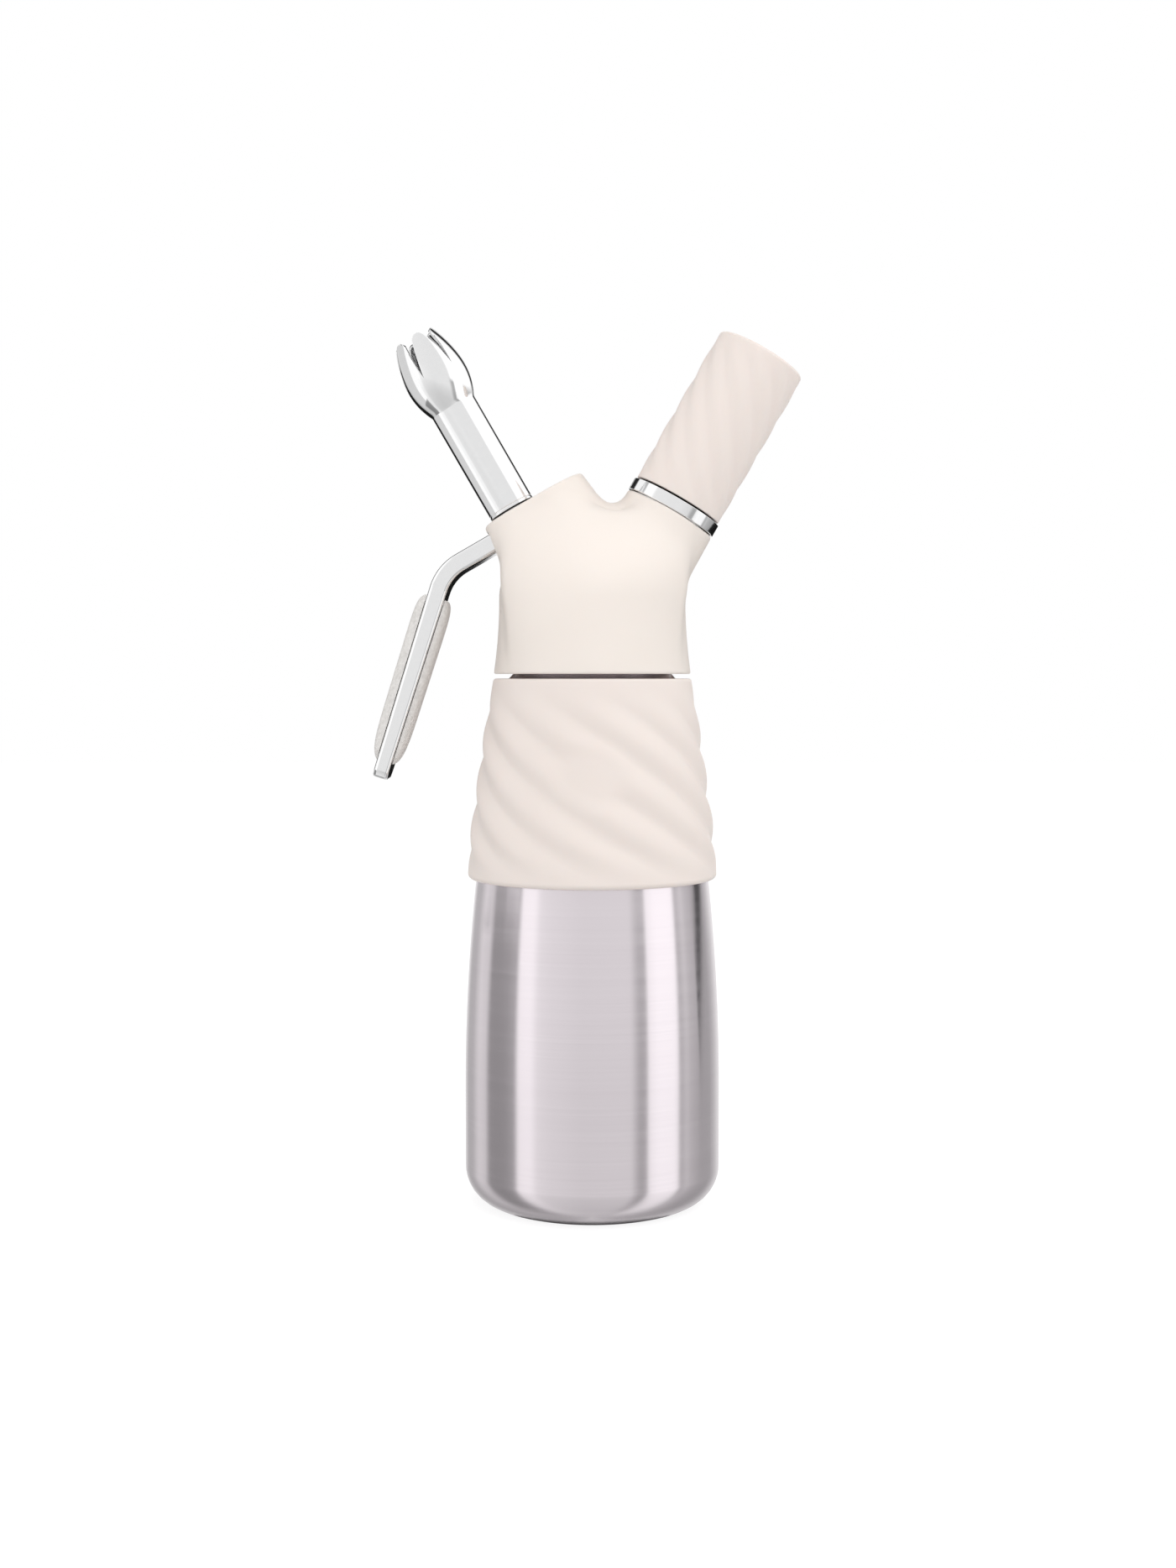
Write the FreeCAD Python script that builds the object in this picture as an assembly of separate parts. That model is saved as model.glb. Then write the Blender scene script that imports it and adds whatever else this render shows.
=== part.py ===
import FreeCAD
import Part
import math
import os
from FreeCAD import Placement, Rotation, Vector

# A hand-held whipped cream dispenser. All lengths are in millimetres and all angles in degrees.
# The origin is the centre of the bottle's base and +Z is up. The head is a Y: its outlet arm leans to -X
# and its charger arm to +X. Each arm has a frame of its own, with its zero on the bottle's axis at
# arm_origin and its own +Z out along the arm, and the pieces on an arm are drawn in that frame.

# Bottle: a drawn steel shell, straight below and conical above, with a threaded neck and a welded base dish.
bottle_radius = 39.0
bottle_wall = 1.0
base_round = 11.5
seam_rise = 1.0               # from the base's round up to its welded seam
knee_height = 80.0            # where the straight wall's line meets the cone's line
knee_round = 600.0
cone_angle = 8.55
shoulder_height = 159.0
neck_radius = 24.0
neck_rise = 4.0
neck_length = 15.0
neck_height = shoulder_height + neck_rise
rim_height = neck_height + neck_length

# Silicone sleeve on the bottle, with twisted ribs.
sleeve_low = 100.0
sleeve_rise = 1.9             # of the sleeve's top above the bottle's shoulder
sleeve_high = shoulder_height + sleeve_rise
sleeve_thickness = 2.9
sleeve_edge_round = 1.2
sleeve_rib_count = 10
sleeve_rib_height = 1.3       # crest to valley
sleeve_rib_lead = 141.0
sleeve_crest_height = 138.1   # where a crest passes the front
sleeve_rib_fade = 14.0

# Head: the skirt, the dome on it and the two arms.
skirt_gap = 1.4               # between the sleeve and the head
skirt_low = sleeve_high + skirt_gap
skirt_radius = 30.0
skirt_wall = 1.8              # at the skirt's mouth
waist_rise = 22.7
waist_height = skirt_low + waist_rise
waist_radius = 28.3
dome_round = 14.0
dome_rise = 42.7
dome_height = skirt_low + dome_rise
arm_drop = 8.0                # from the bottle's rim down to where the arms' axes meet
arm_origin = rim_height - arm_drop
arm_angle = 30.0
mouth_recess = 1.3            # step in the skirt's mouth, under the thread ring

# Thread ring and gasket between the head and the bottle's neck.
thread_clearance = 0.05
thread_ring_wall = 2.2
thread_ring_height = 13.5
gasket_height = 2.6
gasket_width = 3.4
gasket_overhang = 0.5         # of the gasket beyond the bottle's rim
cavity_rise = 3.5

# Outlet arm: a rounded block, flat on top, with a pocket for the lever.
outlet_face = 47.6
outlet_outer = 9.9            # from the outlet's axis to the arm's outer side
outlet_inner = 23.6
outlet_half_depth = 14.5
outlet_outer_round = 9.0
outlet_inner_round = 13.0
outlet_flare = 0.12           # growth of each side per millimetre down the arm
outlet_root = 16.0
roof_thickness = 2.1
ring_recess_depth = 0.9

# Lever: a bent flat bar that forks round the valve stem and turns on a pin.
lever_width = 15.0
lever_thickness = 5.8
lever_tip_thickness = 4.1
lever_level = 42.3            # centre of the bar outside the head, along the outlet's axis
lever_arm = 40.4              # pin to bend
lever_reach = 65.1            # bend to end
lever_slope = 17.7            # of the lower arm, from the vertical
lever_inner_bend = 12.0
lever_outer_bend = 17.0
lever_end_round = 1.2
lever_edge = 0.5              # chamfer along the bar's edges
lever_travel = 12.0
fork_level = 41.4
fork_thickness = 4.0
fork_gap = 7.2
fork_length = 19.3            # from the pin to where the bar takes its full thickness
fork_neck = 1.5               # over which it does so
fork_round = 0.8
fork_slack = 1.2              # room for the stem at the gap's closed end as the lever swings
fork_eye = 2.9
nose_radius = 2.2
nose_drop = 1.3               # how far the noses stand below the fork
pin_distance = 13.3           # outlet's axis to pin
pin_radius = 1.5
pin_front = 11.0
pin_back = 13.2
pocket_clearance = 0.5
pocket_margin = 0.4           # of the pocket's floor, beyond the lever's travel

# Silicone grip through a window in the lever.
pad_low = 6.0                 # bare metal left at the lever's end
pad_length = 51.0
pad_outer = 2.9
pad_inner = 2.4
pad_width = 13.0
pad_round = 0.8               # share of its depth by which a pad's ends are rounded
window_width = 6.0
window_margin = 7.0

# Valve in the outlet arm.
stem_radius = 3.3
stem_bore = 1.9
stem_groove = 0.75            # depth of an O-ring's groove
stem_groove_half = 0.9        # half its width
lower_ring_rise = 4.0         # of the lower O-ring above the guide's relief
upper_ring_drop = 7.5         # of the upper one below the nipple's top
port_rise = 1.6               # of the cross ports above the washer
stem_low = 8.9
stem_high = 57.0
stem_head_radius = 5.2
stem_head_height = 2.5
washer_height = 1.2
guide_flange_radius = 7.2
guide_flange_height = 1.2
guide_slack = 0.3             # round the flange
guide_radius = 5.8
guide_length = 10.2
guide_relief = 4.3
guide_relief_length = 3.4
port_radius = 0.9
port_count = 4
running_clearance = 0.05
cup_radius = 4.8
cup_flange = 1.6
cup_skirt = 2.6
cup_wall = 0.7
clip_height = 0.7
clip_groove = 0.5
clip_width = 0.6              # of the clip outside the stem
clip_opening = 2.4
spring_wire = 0.9
spring_turns = 5.0
spring_radius = 4.55

# Outlet nipple and decorator tip.
nipple_flange_radius = 6.8
nipple_flange = 0.6
nipple_root_radius = 5.65
nipple_thread_radius = 5.4
nipple_high = 59.0
nipple_ring_section = 0.42
tip_low = 48.5
tip_tube_radius = 7.25
tip_neck = 84.0
tip_bulb_radius = 9.75
tip_bulb_height = 9.5         # widest point above the neck
tip_mouth_radius = 6.35
tip_high = 108.0
tip_wall = 1.1
bulb_closing = 1.6            # power by which the tulip closes toward its mouth
bulb_rows = 4
tip_bore = 5.0
petal_count = 6
petal_slot_low = 10.7         # apex of a slot, above the neck
petal_slot_width = 3.6        # at the mouth
petal_round = 1.5             # of each petal's two corners
petal_turn = 10.0
tip_ring_section = 0.65

# Charger arm, nipple and piercing parts.
charger_face = 47.1
charger_arm_radius = 14.5
charger_arm_root_radius = 15.3
charger_arm_root = 8.0
charger_nipple_radius = 11.0
charger_nipple_low = 30.0
charger_nipple_high = 56.5
charger_flange_radius = 12.7
charger_flange = 0.9
stud_radius = 3.2
stud_length = 5.5
check_sleeve_wall = 1.1
check_sleeve_length = 4.0
stud_room = 0.8               # round the check valve's sleeve
stud_end_room = 0.5
gas_passage = 1.6
gas_passage_low = 5.0
nipple_passage = 1.0
nipple_passage_floor = 1.5
nipple_cross_passage = 0.7
nipple_slack = 0.35           # between the charger and the cup that it stands in
needle_radius = 0.8
needle_bore = 0.4
needle_height = 4.6
needle_base_radius = 3.4
needle_base_height = 1.6
needle_cone_share = 0.7       # of its height that is straight
seal_height = 1.9
seal_slack = 0.3

# Gas charger: 8 g, 18 mm across and 65 mm long.
charger_radius = 9.0
charger_length = 65.0
charger_neck_radius = 4.3
charger_neck_length = 7.0
charger_shoulder = 8.0
charger_wall = 1.5
charger_cap_radius = 2.6
charger_cap_height = 0.5
charger_cap_hole = 1.0        # pierced through the cap
charger_cap_seat = 1.6        # hole under the cap

# Charger holder and its grip.
holder_gap = 0.3
holder_slack = 0.2            # over the charger's end
holder_mouth_slack = 0.3      # round the nipple's flange
thread_relief = 0.8           # between the nipple's top and the holder's thread
thread_runout = 1.0
collar_radius = 14.4
collar_height = 4.7           # top of the collar above the arm's face
holder_radius = 12.3
holder_bore = 9.3
holder_end_wall = 1.8
grip_radius = 14.1
grip_end_wall = 2.0
grip_end_round = 1.3
grip_edge_round = 0.5
edge_share = 0.3              # how far a small rounded edge's middle row stands in
grip_rib_count = 10
grip_rib_height = 0.5
grip_rib_lead = 119.0
grip_crest_height = 75.0
grip_rib_fade = 8.0

ring_sides = 8
spring_sides = 4
points_per_rib = 4
rib_rows = 11
wall_rows = 3
round_rows = 3
whole_turn = 360.0
tiny = 1e-6
fit_gap = 0.02                # between pieces that are pressed or moulded together


def outline(points):
    """Closed wire in the XZ plane through (x, z) or (x, z, corner radius) points."""
    corners = []
    for number, point in enumerate(points):
        here = Vector(point[0], 0, point[1])
        if len(point) < 3:
            corners.append((here, here, None))
            continue
        before = points[number - 1]
        after = points[(number + 1) % len(points)]
        back = (Vector(before[0], 0, before[1]) - here).normalize()
        ahead = (Vector(after[0], 0, after[1]) - here).normalize()
        half_angle = back.getAngle(ahead) / 2
        reach = point[2] / math.tan(half_angle)
        inward = (back + ahead).normalize()
        middle = here + inward * (point[2] / math.sin(half_angle) - point[2])
        corners.append((here + back * reach, here + ahead * reach, middle))
    edges = []
    for number, (start, end, middle) in enumerate(corners):
        if middle:
            edges.append(Part.Arc(start, middle, end).toShape())
        following = corners[(number + 1) % len(corners)][0]
        if end.distanceToPoint(following) > tiny:
            edges.append(Part.makeLine(end, following))
    return Part.Wire(edges)


def turned(points):
    """Solid of revolution about Z of an outline of (radius, height) points."""
    return Part.Face(outline(points)).revolve(Vector(0, 0, 0), Vector(0, 0, 1), whole_turn)


def rod(radius, low, high):
    """Upright round bar between two heights."""
    return Part.makeCylinder(radius, high - low, Vector(0, 0, low))


def tube(outer, inner, low, high):
    """Upright round tube between two heights."""
    return rod(outer, low, high).cut(rod(inner, low - 1, high + 1))


def plate(points, width):
    """Outline in the XZ plane, given a width centred on Y = 0."""
    face = Part.Face(outline(points))
    face.translate(Vector(0, -width / 2, 0))
    return face.extrude(Vector(0, width, 0))


def ring_section(radius, section, height, sides):
    """Round section at a radius and a height, drawn with flats."""
    points = []
    for side in range(sides):
        angle = math.radians(whole_turn * (side + 0.5) / sides)
        reach = section / math.cos(math.pi / sides)
        points.append((radius + reach * math.cos(angle), height + reach * math.sin(angle)))
    return points


def ring(radius, section, height):
    """O-ring lying flat at a height."""
    return turned(ring_section(radius, section, height, ring_sides))


def on_outlet_arm(shape):
    """Moves a shape from the outlet arm's frame to the dispenser's."""
    moved = shape.copy()
    arm = Placement(Vector(0, 0, arm_origin), Rotation(Vector(0, 1, 0), -arm_angle))
    moved.Placement = arm.multiply(moved.Placement)
    return moved


def on_charger_arm(shape):
    """Moves a shape from the charger arm's frame to the dispenser's."""
    moved = shape.copy()
    arm = Placement(Vector(0, 0, arm_origin), Rotation(Vector(0, 1, 0), arm_angle))
    moved.Placement = arm.multiply(moved.Placement)
    return moved


def ease(value):
    """Smooth step from 0 to 1."""
    value = min(max(value, 0.0), 1.0)
    return value * value * (3 - 2 * value)


def ribbed(rows, count, depth, lead, crest, fade):
    """Solid with left-handed helical ribs that fade out at both ends.

    rows are (radius, height) from its lower end to its upper end. Each side of a row is one column of
    corners, and the columns follow the ribs.
    """
    columns = count * points_per_rib
    low = rows[0][1]
    high = rows[-1][1]
    rings = []
    for radius, height in rows:
        strength = ease((height - low) / fade) * ease((high - height) / fade)
        turn = -90 - whole_turn * (height - crest) / lead
        corners = []
        for column in range(columns):
            wave = depth / 2 * math.cos(math.radians(whole_turn * column / points_per_rib))
            corners.append(polar(radius + strength * wave, whole_turn * column / columns + turn, height))
        rings.append(corners)
    faces = [flat_face(rings[0]), flat_face(rings[-1])]
    for lower, upper in zip(rings, rings[1:]):
        for column in range(columns):
            following = (column + 1) % columns
            faces.append(flat_face([lower[column], lower[following], upper[column]]))
            faces.append(flat_face([lower[following], upper[following], upper[column]]))
    shell = Part.Shell(faces)
    shell.sewShape()
    return Part.Solid(shell)


def flat_face(corners):
    """Flat face between corners."""
    return Part.Face(Part.makePolygon(corners + corners[:1]))


def quarter_round(radius, height, size, rising):
    """Points of a quarter round, drawn with flats, that meets a wall of some radius at a height.

    A rising one comes out to the foot of the wall, and the other one goes in from the wall's top.
    """
    points = []
    for step in range(round_rows + 1):
        angle = math.pi / 2 * step / round_rows
        inward = size * (1 - math.sin(angle)) if rising else size * (1 - math.cos(angle))
        away = size * math.cos(angle) if rising else size * math.sin(angle)
        points.append((radius - inward, height - away if rising else height + away))
    return points


def spaced(low, high, count):
    """Heights that divide a span evenly, without its ends."""
    return [low + (high - low) * step / count for step in range(1, count)]


def polar(radius, angle, height):
    """Point at a radius, an angle from +X and a height."""
    return Vector(radius * math.cos(math.radians(angle)), radius * math.sin(math.radians(angle)), height)


# Bottle and sleeve.

def wall_bend():
    """Heights between which the bottle's wall bends from straight to conical."""
    reach = knee_round * math.tan(math.radians(cone_angle / 2))
    return knee_height - reach, knee_height + reach * math.cos(math.radians(cone_angle))


def wall_radius(height):
    """Outer radius of the bottle's side at a height, below the shoulder."""
    start, end = wall_bend()
    if height <= start:
        return bottle_radius
    if height >= end:
        return bottle_radius - (height - knee_height) * math.tan(math.radians(cone_angle))
    return bottle_radius - knee_round + math.sqrt(knee_round ** 2 - (height - start) ** 2)


def bottle_solid(inset, top):
    """Filled bottle up to a height, its outside moved inwards by inset."""
    start, end = wall_bend()
    heights = [start] + spaced(start, end, wall_rows) + [end, shoulder_height]
    wall = [(wall_radius(height) - inset, height) for height in heights]
    return turned([
        (0, inset),
        *quarter_round(bottle_radius - inset, base_round, base_round - inset, True),
        *wall,
        (neck_radius - inset, neck_height - inset / 2),
        (neck_radius - inset, top),
        (0, top),
    ])


def bottle_shell():
    """The whole bottle and the block below its seam."""
    shell = bottle_solid(0, rim_height).cut(bottle_solid(bottle_wall, rim_height + 1))
    return shell, rod(bottle_radius + 1, -1, base_round + seam_rise)


def bottle():
    shell, dish = bottle_shell()
    return shell.cut(dish)


def bottle_base():
    shell, dish = bottle_shell()
    return shell.common(dish)


def sleeve_row(height, inset):
    """Radius and height of a row of the sleeve's outside, moved inwards by inset."""
    return wall_radius(height) + sleeve_thickness - inset, height


def grip_sleeve():
    ease_in = sleeve_edge_round * edge_share
    body_low = sleeve_low + sleeve_edge_round
    body_high = sleeve_high - sleeve_edge_round
    rows = [
        sleeve_row(sleeve_low, sleeve_edge_round),
        sleeve_row(sleeve_low + ease_in, ease_in),
        sleeve_row(body_low, 0),
        *[sleeve_row(height, 0) for height in spaced(body_low, body_high, rib_rows)],
        sleeve_row(body_high, 0),
        sleeve_row(sleeve_high - ease_in, ease_in),
        sleeve_row(sleeve_high, sleeve_edge_round),
    ]
    body = ribbed(rows, sleeve_rib_count, sleeve_rib_height, sleeve_rib_lead, sleeve_crest_height,
                  sleeve_rib_fade)
    return body.cut(bottle_solid(-fit_gap, rim_height))


# Head, thread ring and gasket.

def outlet_block(height):
    """Section of the outlet arm at a height in its own frame."""
    growth = (outlet_face - height) * outlet_flare
    half_depth = outlet_half_depth + growth
    section = outline([
        (-outlet_outer - growth, -half_depth, outlet_outer_round),
        (outlet_inner + growth, -half_depth, outlet_inner_round),
        (outlet_inner + growth, half_depth, outlet_inner_round),
        (-outlet_outer - growth, half_depth, outlet_outer_round),
    ])
    section.rotate(Vector(0, 0, 0), Vector(1, 0, 0), -90)
    section.translate(Vector(0, 0, height))
    return section


def head_form():
    """Outside of the head: skirt, dome and two arms, blended where they meet."""
    trunk = turned([
        (0, skirt_low),
        (skirt_radius, skirt_low),
        (waist_radius, waist_height),
        *quarter_round(waist_radius, dome_height - dome_round, dome_round, False),
        (0, dome_height),
    ])
    outlet_arm = Part.makeLoft([outlet_block(outlet_root), outlet_block(outlet_face)], True, True)
    charger_arm = Part.makeCone(charger_arm_root_radius, charger_arm_radius, charger_face - charger_arm_root,
                                Vector(0, 0, charger_arm_root))
    return trunk.fuse([on_outlet_arm(outlet_arm), on_charger_arm(charger_arm)]).removeSplitter()


def pocket_outline():
    """Room for the lever in the outlet arm, from its rest to the end of its travel."""
    roof = outlet_face - roof_thickness
    inner = pin_distance + fork_eye + pocket_clearance
    half = fork_thickness / 2 / math.cos(math.radians(lever_travel))
    floor = fork_level - half - pocket_clearance - fork_eye / 2
    outer = -outlet_outer - outlet_half_depth
    drop = (inner - outer) * math.tan(math.radians(lever_travel + pocket_margin))
    return [
        (inner, roof, nose_radius / 2),
        (inner, floor, nose_radius / 2),
        (outer, floor - drop),
        (outer, roof),
    ]


def head_body():
    seat = rim_height + gasket_height
    ring_top = skirt_low + mouth_recess + thread_ring_height
    ring_radius = neck_radius + thread_clearance + thread_ring_wall
    gasket_outer = neck_radius + gasket_overhang
    bowl = turned([
        (0, skirt_low - 1),
        (skirt_radius - skirt_wall, skirt_low - 1),
        (skirt_radius - skirt_wall, skirt_low + mouth_recess),
        (ring_radius + fit_gap, skirt_low + mouth_recess),
        (ring_radius + fit_gap, ring_top),
        (gasket_outer + fit_gap, ring_top),
        (gasket_outer + fit_gap, seat),
        (gasket_outer - gasket_width, seat),
        (gasket_outer - gasket_width - cavity_rise, seat + cavity_rise),
        (0, seat + cavity_rise),
    ])
    seat_level = stem_low + stem_head_height + washer_height
    valve_bore = rod(guide_flange_radius + guide_slack, 0, seat_level + guide_flange_height)
    valve_bore = valve_bore.fuse(rod(guide_radius + fit_gap, 0, fork_level))
    pocket = plate(pocket_outline(), lever_width + 2 * pocket_clearance)
    roof_hole = rod(nipple_root_radius + thread_clearance, fork_level, outlet_face + 1)
    ring_recess = rod(nipple_root_radius + 2 * nipple_ring_section + thread_clearance,
                      outlet_face - ring_recess_depth, outlet_face + 1)
    pin_hole = Part.makeCylinder(pin_radius + fit_gap, pin_front + 2 * outlet_half_depth,
                                 Vector(pin_distance, -pin_front, fork_level), Vector(0, 1, 0))
    nipple_bore = rod(charger_nipple_radius + fit_gap, charger_nipple_low, charger_face + 1)
    stud_bore = rod(stud_radius + check_sleeve_wall + stud_room,
                    charger_nipple_low - stud_length - stud_end_room, charger_nipple_low + 1)
    passage = rod(gas_passage, gas_passage_low, charger_nipple_low)
    form = head_form()
    for cut in (valve_bore, pocket, roof_hole, ring_recess, pin_hole):
        form = form.cut(on_outlet_arm(cut))
    for cut in (nipple_bore, stud_bore, passage):
        form = form.cut(on_charger_arm(cut))
    return form.cut(bowl)


def thread_ring():
    low = skirt_low + mouth_recess
    outer = neck_radius + thread_clearance + thread_ring_wall
    return tube(outer, neck_radius + thread_clearance, low, low + thread_ring_height)


def head_gasket():
    outer = neck_radius + gasket_overhang
    inner = outer - gasket_width
    top = rim_height + gasket_height
    return tube(outer, inner, rim_height, top)


# Valve, drawn in the outlet arm's frame.

def valve_guide():
    seat = stem_low + stem_head_height + washer_height
    body = turned([
        (stem_radius + running_clearance, seat),
        (guide_flange_radius, seat),
        (guide_flange_radius, seat + guide_flange_height),
        (guide_radius, seat + guide_flange_height),
        (guide_radius, seat + guide_flange_height + guide_length),
        (stem_radius + running_clearance, seat + guide_flange_height + guide_length),
    ])
    return on_outlet_arm(body.cut(rod(guide_relief, seat - 1, seat + guide_relief_length)))


def ring_heights():
    """Heights of the stem's lower and upper O-rings."""
    seat = stem_low + stem_head_height + washer_height
    lower = seat + guide_relief_length + lower_ring_rise
    upper = nipple_high - upper_ring_drop
    return lower, upper


def cup_top():
    """Height of the spring cup's top, just under the lever's noses."""
    return fork_level - fork_thickness / 2 - nose_drop - running_clearance


def valve_stem():
    washer_low = stem_low + stem_head_height
    body = rod(stem_radius, washer_low, stem_high).fuse(rod(stem_head_radius, stem_low, washer_low))
    body = body.cut(rod(stem_bore, washer_low, stem_high + 1))
    for height in ring_heights():
        body = body.cut(tube(stem_radius + 1, stem_radius - stem_groove, height - stem_groove_half,
                             height + stem_groove_half))
    clip_low = cup_top() - cup_flange - cup_skirt
    body = body.cut(tube(stem_radius + 1, stem_radius - clip_groove, clip_low - clip_height, clip_low))
    port_height = washer_low + washer_height + port_rise
    for number in range(port_count):
        port = Part.makeCylinder(port_radius, stem_radius + 1, Vector(0, 0, port_height),
                                 polar(1, 45 + number * whole_turn / port_count, 0))
        body = body.cut(port)
    return on_outlet_arm(body)


def valve_washer():
    low = stem_low + stem_head_height
    return on_outlet_arm(tube(stem_head_radius, stem_radius + fit_gap, low, low + washer_height))


def stem_ring(height, bore):
    """O-ring in a groove of the stem, running in a bore."""
    inner = stem_radius - stem_groove
    section = (bore - inner) / 2 - fit_gap
    return on_outlet_arm(ring((bore + inner) / 2, section, height))


def spring_cup():
    top = cup_top()
    body = turned([
        (stem_radius + fit_gap, top - cup_flange - cup_skirt),
        (stem_radius + cup_wall, top - cup_flange - cup_skirt),
        (stem_radius + cup_wall, top - cup_flange),
        (cup_radius, top - cup_flange),
        (cup_radius, top),
        (stem_radius + fit_gap, top),
    ])
    return on_outlet_arm(body)


def cup_clip():
    high = cup_top() - cup_flange - cup_skirt
    body = tube(stem_radius + clip_width, stem_radius - clip_groove + fit_gap, high - clip_height, high)
    opening = Part.makeBox(stem_radius * 2, clip_opening, 2 * clip_height,
                           Vector(0, -clip_opening / 2, high - 1.5 * clip_height))
    return on_outlet_arm(body.cut(opening))


def valve_spring():
    low = stem_low + stem_head_height + washer_height + guide_flange_height + guide_length + spring_wire / 2
    high = cup_top() - cup_flange - spring_wire / 2
    helix = Part.makeHelix((high - low) / spring_turns, high - low, spring_radius)
    section = ring_section(spring_radius, spring_wire / 2, 0, spring_sides)
    coil = Part.Wire(helix).makePipeShell([outline(section)], True, True)
    coil.translate(Vector(0, 0, low))
    return on_outlet_arm(coil)


# Lever, its grip and its pin.

def arm_point(along, out):
    """Point in the outlet arm's frame, given in the dispenser's."""
    lean = math.radians(arm_angle)
    return Vector(along * math.cos(lean) - out * math.sin(lean), 0,
                  arm_origin + along * math.sin(lean) + out * math.cos(lean))


def crossing(point, direction, other, other_direction):
    """Point where two lines in the XZ plane cross."""
    span = direction.x * other_direction.z - direction.z * other_direction.x
    step = ((other.x - point.x) * other_direction.z - (other.z - point.z) * other_direction.x) / span
    return point + direction * step


def lever_lines():
    """The lever's bend, the direction of its lower arm and the normal to it, toward the bottle."""
    bend = arm_point(pin_distance - lever_arm, lever_level)
    slope = math.radians(lever_slope)
    down = Vector(-math.sin(slope), 0, -math.cos(slope))
    inward = Vector(math.cos(slope), 0, -math.sin(slope))
    return bend, down, inward


def side_edges(bar):
    """Edges round the bar's two flat sides, apart from those inside the head."""
    inside = arm_point(-outlet_outer, fork_level).x
    return [edge for edge in bar.Edges
            if abs(abs(edge.CenterOfMass.y) - lever_width / 2) < tiny and edge.CenterOfMass.x < inside]


def lever():
    bend, down, inward = lever_lines()
    half = lever_thickness / 2
    inner_side = arm_point(0, lever_level - half)
    outer_side = arm_point(0, lever_level + half)
    along = arm_point(1, 0) - arm_point(0, 0)
    end = bend + down * lever_reach
    half_end = lever_tip_thickness / 2
    lower_inner = (end + inward * half_end) - (bend + inward * half)
    lower_outer = (end - inward * half_end) - (bend - inward * half)
    inner_corner = crossing(inner_side, along, bend + inward * half, lower_inner)
    outer_corner = crossing(outer_side, along, bend - inward * half, lower_outer)
    root = pin_distance - fork_length
    inner_root = arm_point(root, lever_level - half)
    outer_root = arm_point(root, lever_level + half)
    fork_low = fork_level - fork_thickness / 2
    fork_high = fork_level + fork_thickness / 2
    fork_inner = arm_point(pin_distance, fork_low)
    fork_outer = arm_point(pin_distance, fork_high)
    fork_step = arm_point(root + fork_neck, fork_high)
    end_inner = end + inward * half_end
    end_outer = end - inward * half_end
    bar = plate([
        (inner_root.x, inner_root.z),
        (inner_corner.x, inner_corner.z, lever_inner_bend),
        (end_inner.x, end_inner.z, lever_end_round),
        (end_outer.x, end_outer.z, lever_end_round),
        (outer_corner.x, outer_corner.z, lever_outer_bend),
        (outer_root.x, outer_root.z, fork_round),
        (fork_step.x, fork_step.z, fork_round),
        (fork_outer.x, fork_outer.z),
        (fork_inner.x, fork_inner.z),
    ], lever_width)
    bar = bar.makeChamfer(lever_edge, side_edges(bar))
    eye_centre = arm_point(pin_distance, fork_level)
    eye = Part.makeCylinder(fork_eye, lever_width, eye_centre - Vector(0, lever_width / 2, 0), Vector(0, 1, 0))
    nose_centre = arm_point(0, fork_low - nose_drop + nose_radius)
    nose = Part.makeCylinder(nose_radius, lever_width, nose_centre - Vector(0, lever_width / 2, 0),
                             Vector(0, 1, 0))
    fork = bar.fuse([eye, nose])
    pin_hole = Part.makeCylinder(pin_radius + running_clearance, lever_width + 2,
                                 eye_centre - Vector(0, lever_width / 2 + 1, 0), Vector(0, 1, 0))
    gap = Part.makeBox(pin_distance + fork_eye + fork_gap, fork_gap, lever_width,
                       Vector(-fork_slack, -fork_gap / 2, fork_level - lever_width / 2))
    round_end = rod(fork_gap / 2, fork_level - lever_width / 2, fork_level + lever_width / 2)
    round_end.translate(Vector(-fork_slack, 0, 0))
    gap = gap.fuse(round_end)
    return fork.cut(pin_hole).cut(on_outlet_arm(gap)).cut(lever_window(0))


def lever_window(gap):
    """Block through the lower arm's window, clear of the window's sides by gap."""
    bend, down, inward = lever_lines()
    start = bend + down * (lever_reach - pad_low - window_margin - gap)
    stop = bend + down * (lever_reach - pad_low - pad_length + window_margin + gap)
    deep = inward * (lever_thickness / 2 + 1)
    corners = [start + deep, start - deep, stop - deep, stop + deep]
    return plate([(corner.x, corner.z) for corner in corners], window_width - 2 * gap)


def lever_pad(side, depth):
    """Silicone pad on one face of the lower arm; side is 1 toward the bottle and -1 away from it."""
    bend, down, inward = lever_lines()
    points = []
    for reach, rows in ((lever_reach - pad_low, (0, depth)), (lever_reach - pad_low - pad_length, (depth, 0))):
        share = reach / lever_reach
        half = (lever_thickness * (1 - share) + lever_tip_thickness * share) / 2
        for row in rows:
            corner = bend + down * reach + inward * side * (half + fit_gap + row)
            rounding = (depth * pad_round,) if row else ()
            points.append((corner.x, corner.z) + rounding)
    return plate(points, pad_width)


def lever_grip():
    return lever_pad(-1, pad_outer).fuse([lever_pad(1, pad_inner), lever_window(fit_gap)])


def lever_pin():
    centre = arm_point(pin_distance, fork_level)
    pin = Part.makeCylinder(pin_radius, pin_front + pin_back, centre - Vector(0, pin_front, 0), Vector(0, 1, 0))
    return pin.makeChamfer(0.3, [edge for edge in pin.Edges if len(edge.Vertexes) == 1])


# Outlet nipple and decorator tip, drawn in the outlet arm's frame.

def outlet_nipple():
    bore = stem_radius + running_clearance
    flange_top = outlet_face + nipple_flange
    root = outlet_face - roof_thickness
    body = turned([
        (bore, root),
        (nipple_root_radius, root),
        (nipple_root_radius, outlet_face),
        (nipple_flange_radius, outlet_face),
        (nipple_flange_radius, flange_top),
        (nipple_thread_radius, flange_top),
        (nipple_thread_radius, nipple_high),
        (bore, nipple_high),
    ])
    return on_outlet_arm(body)


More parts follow.
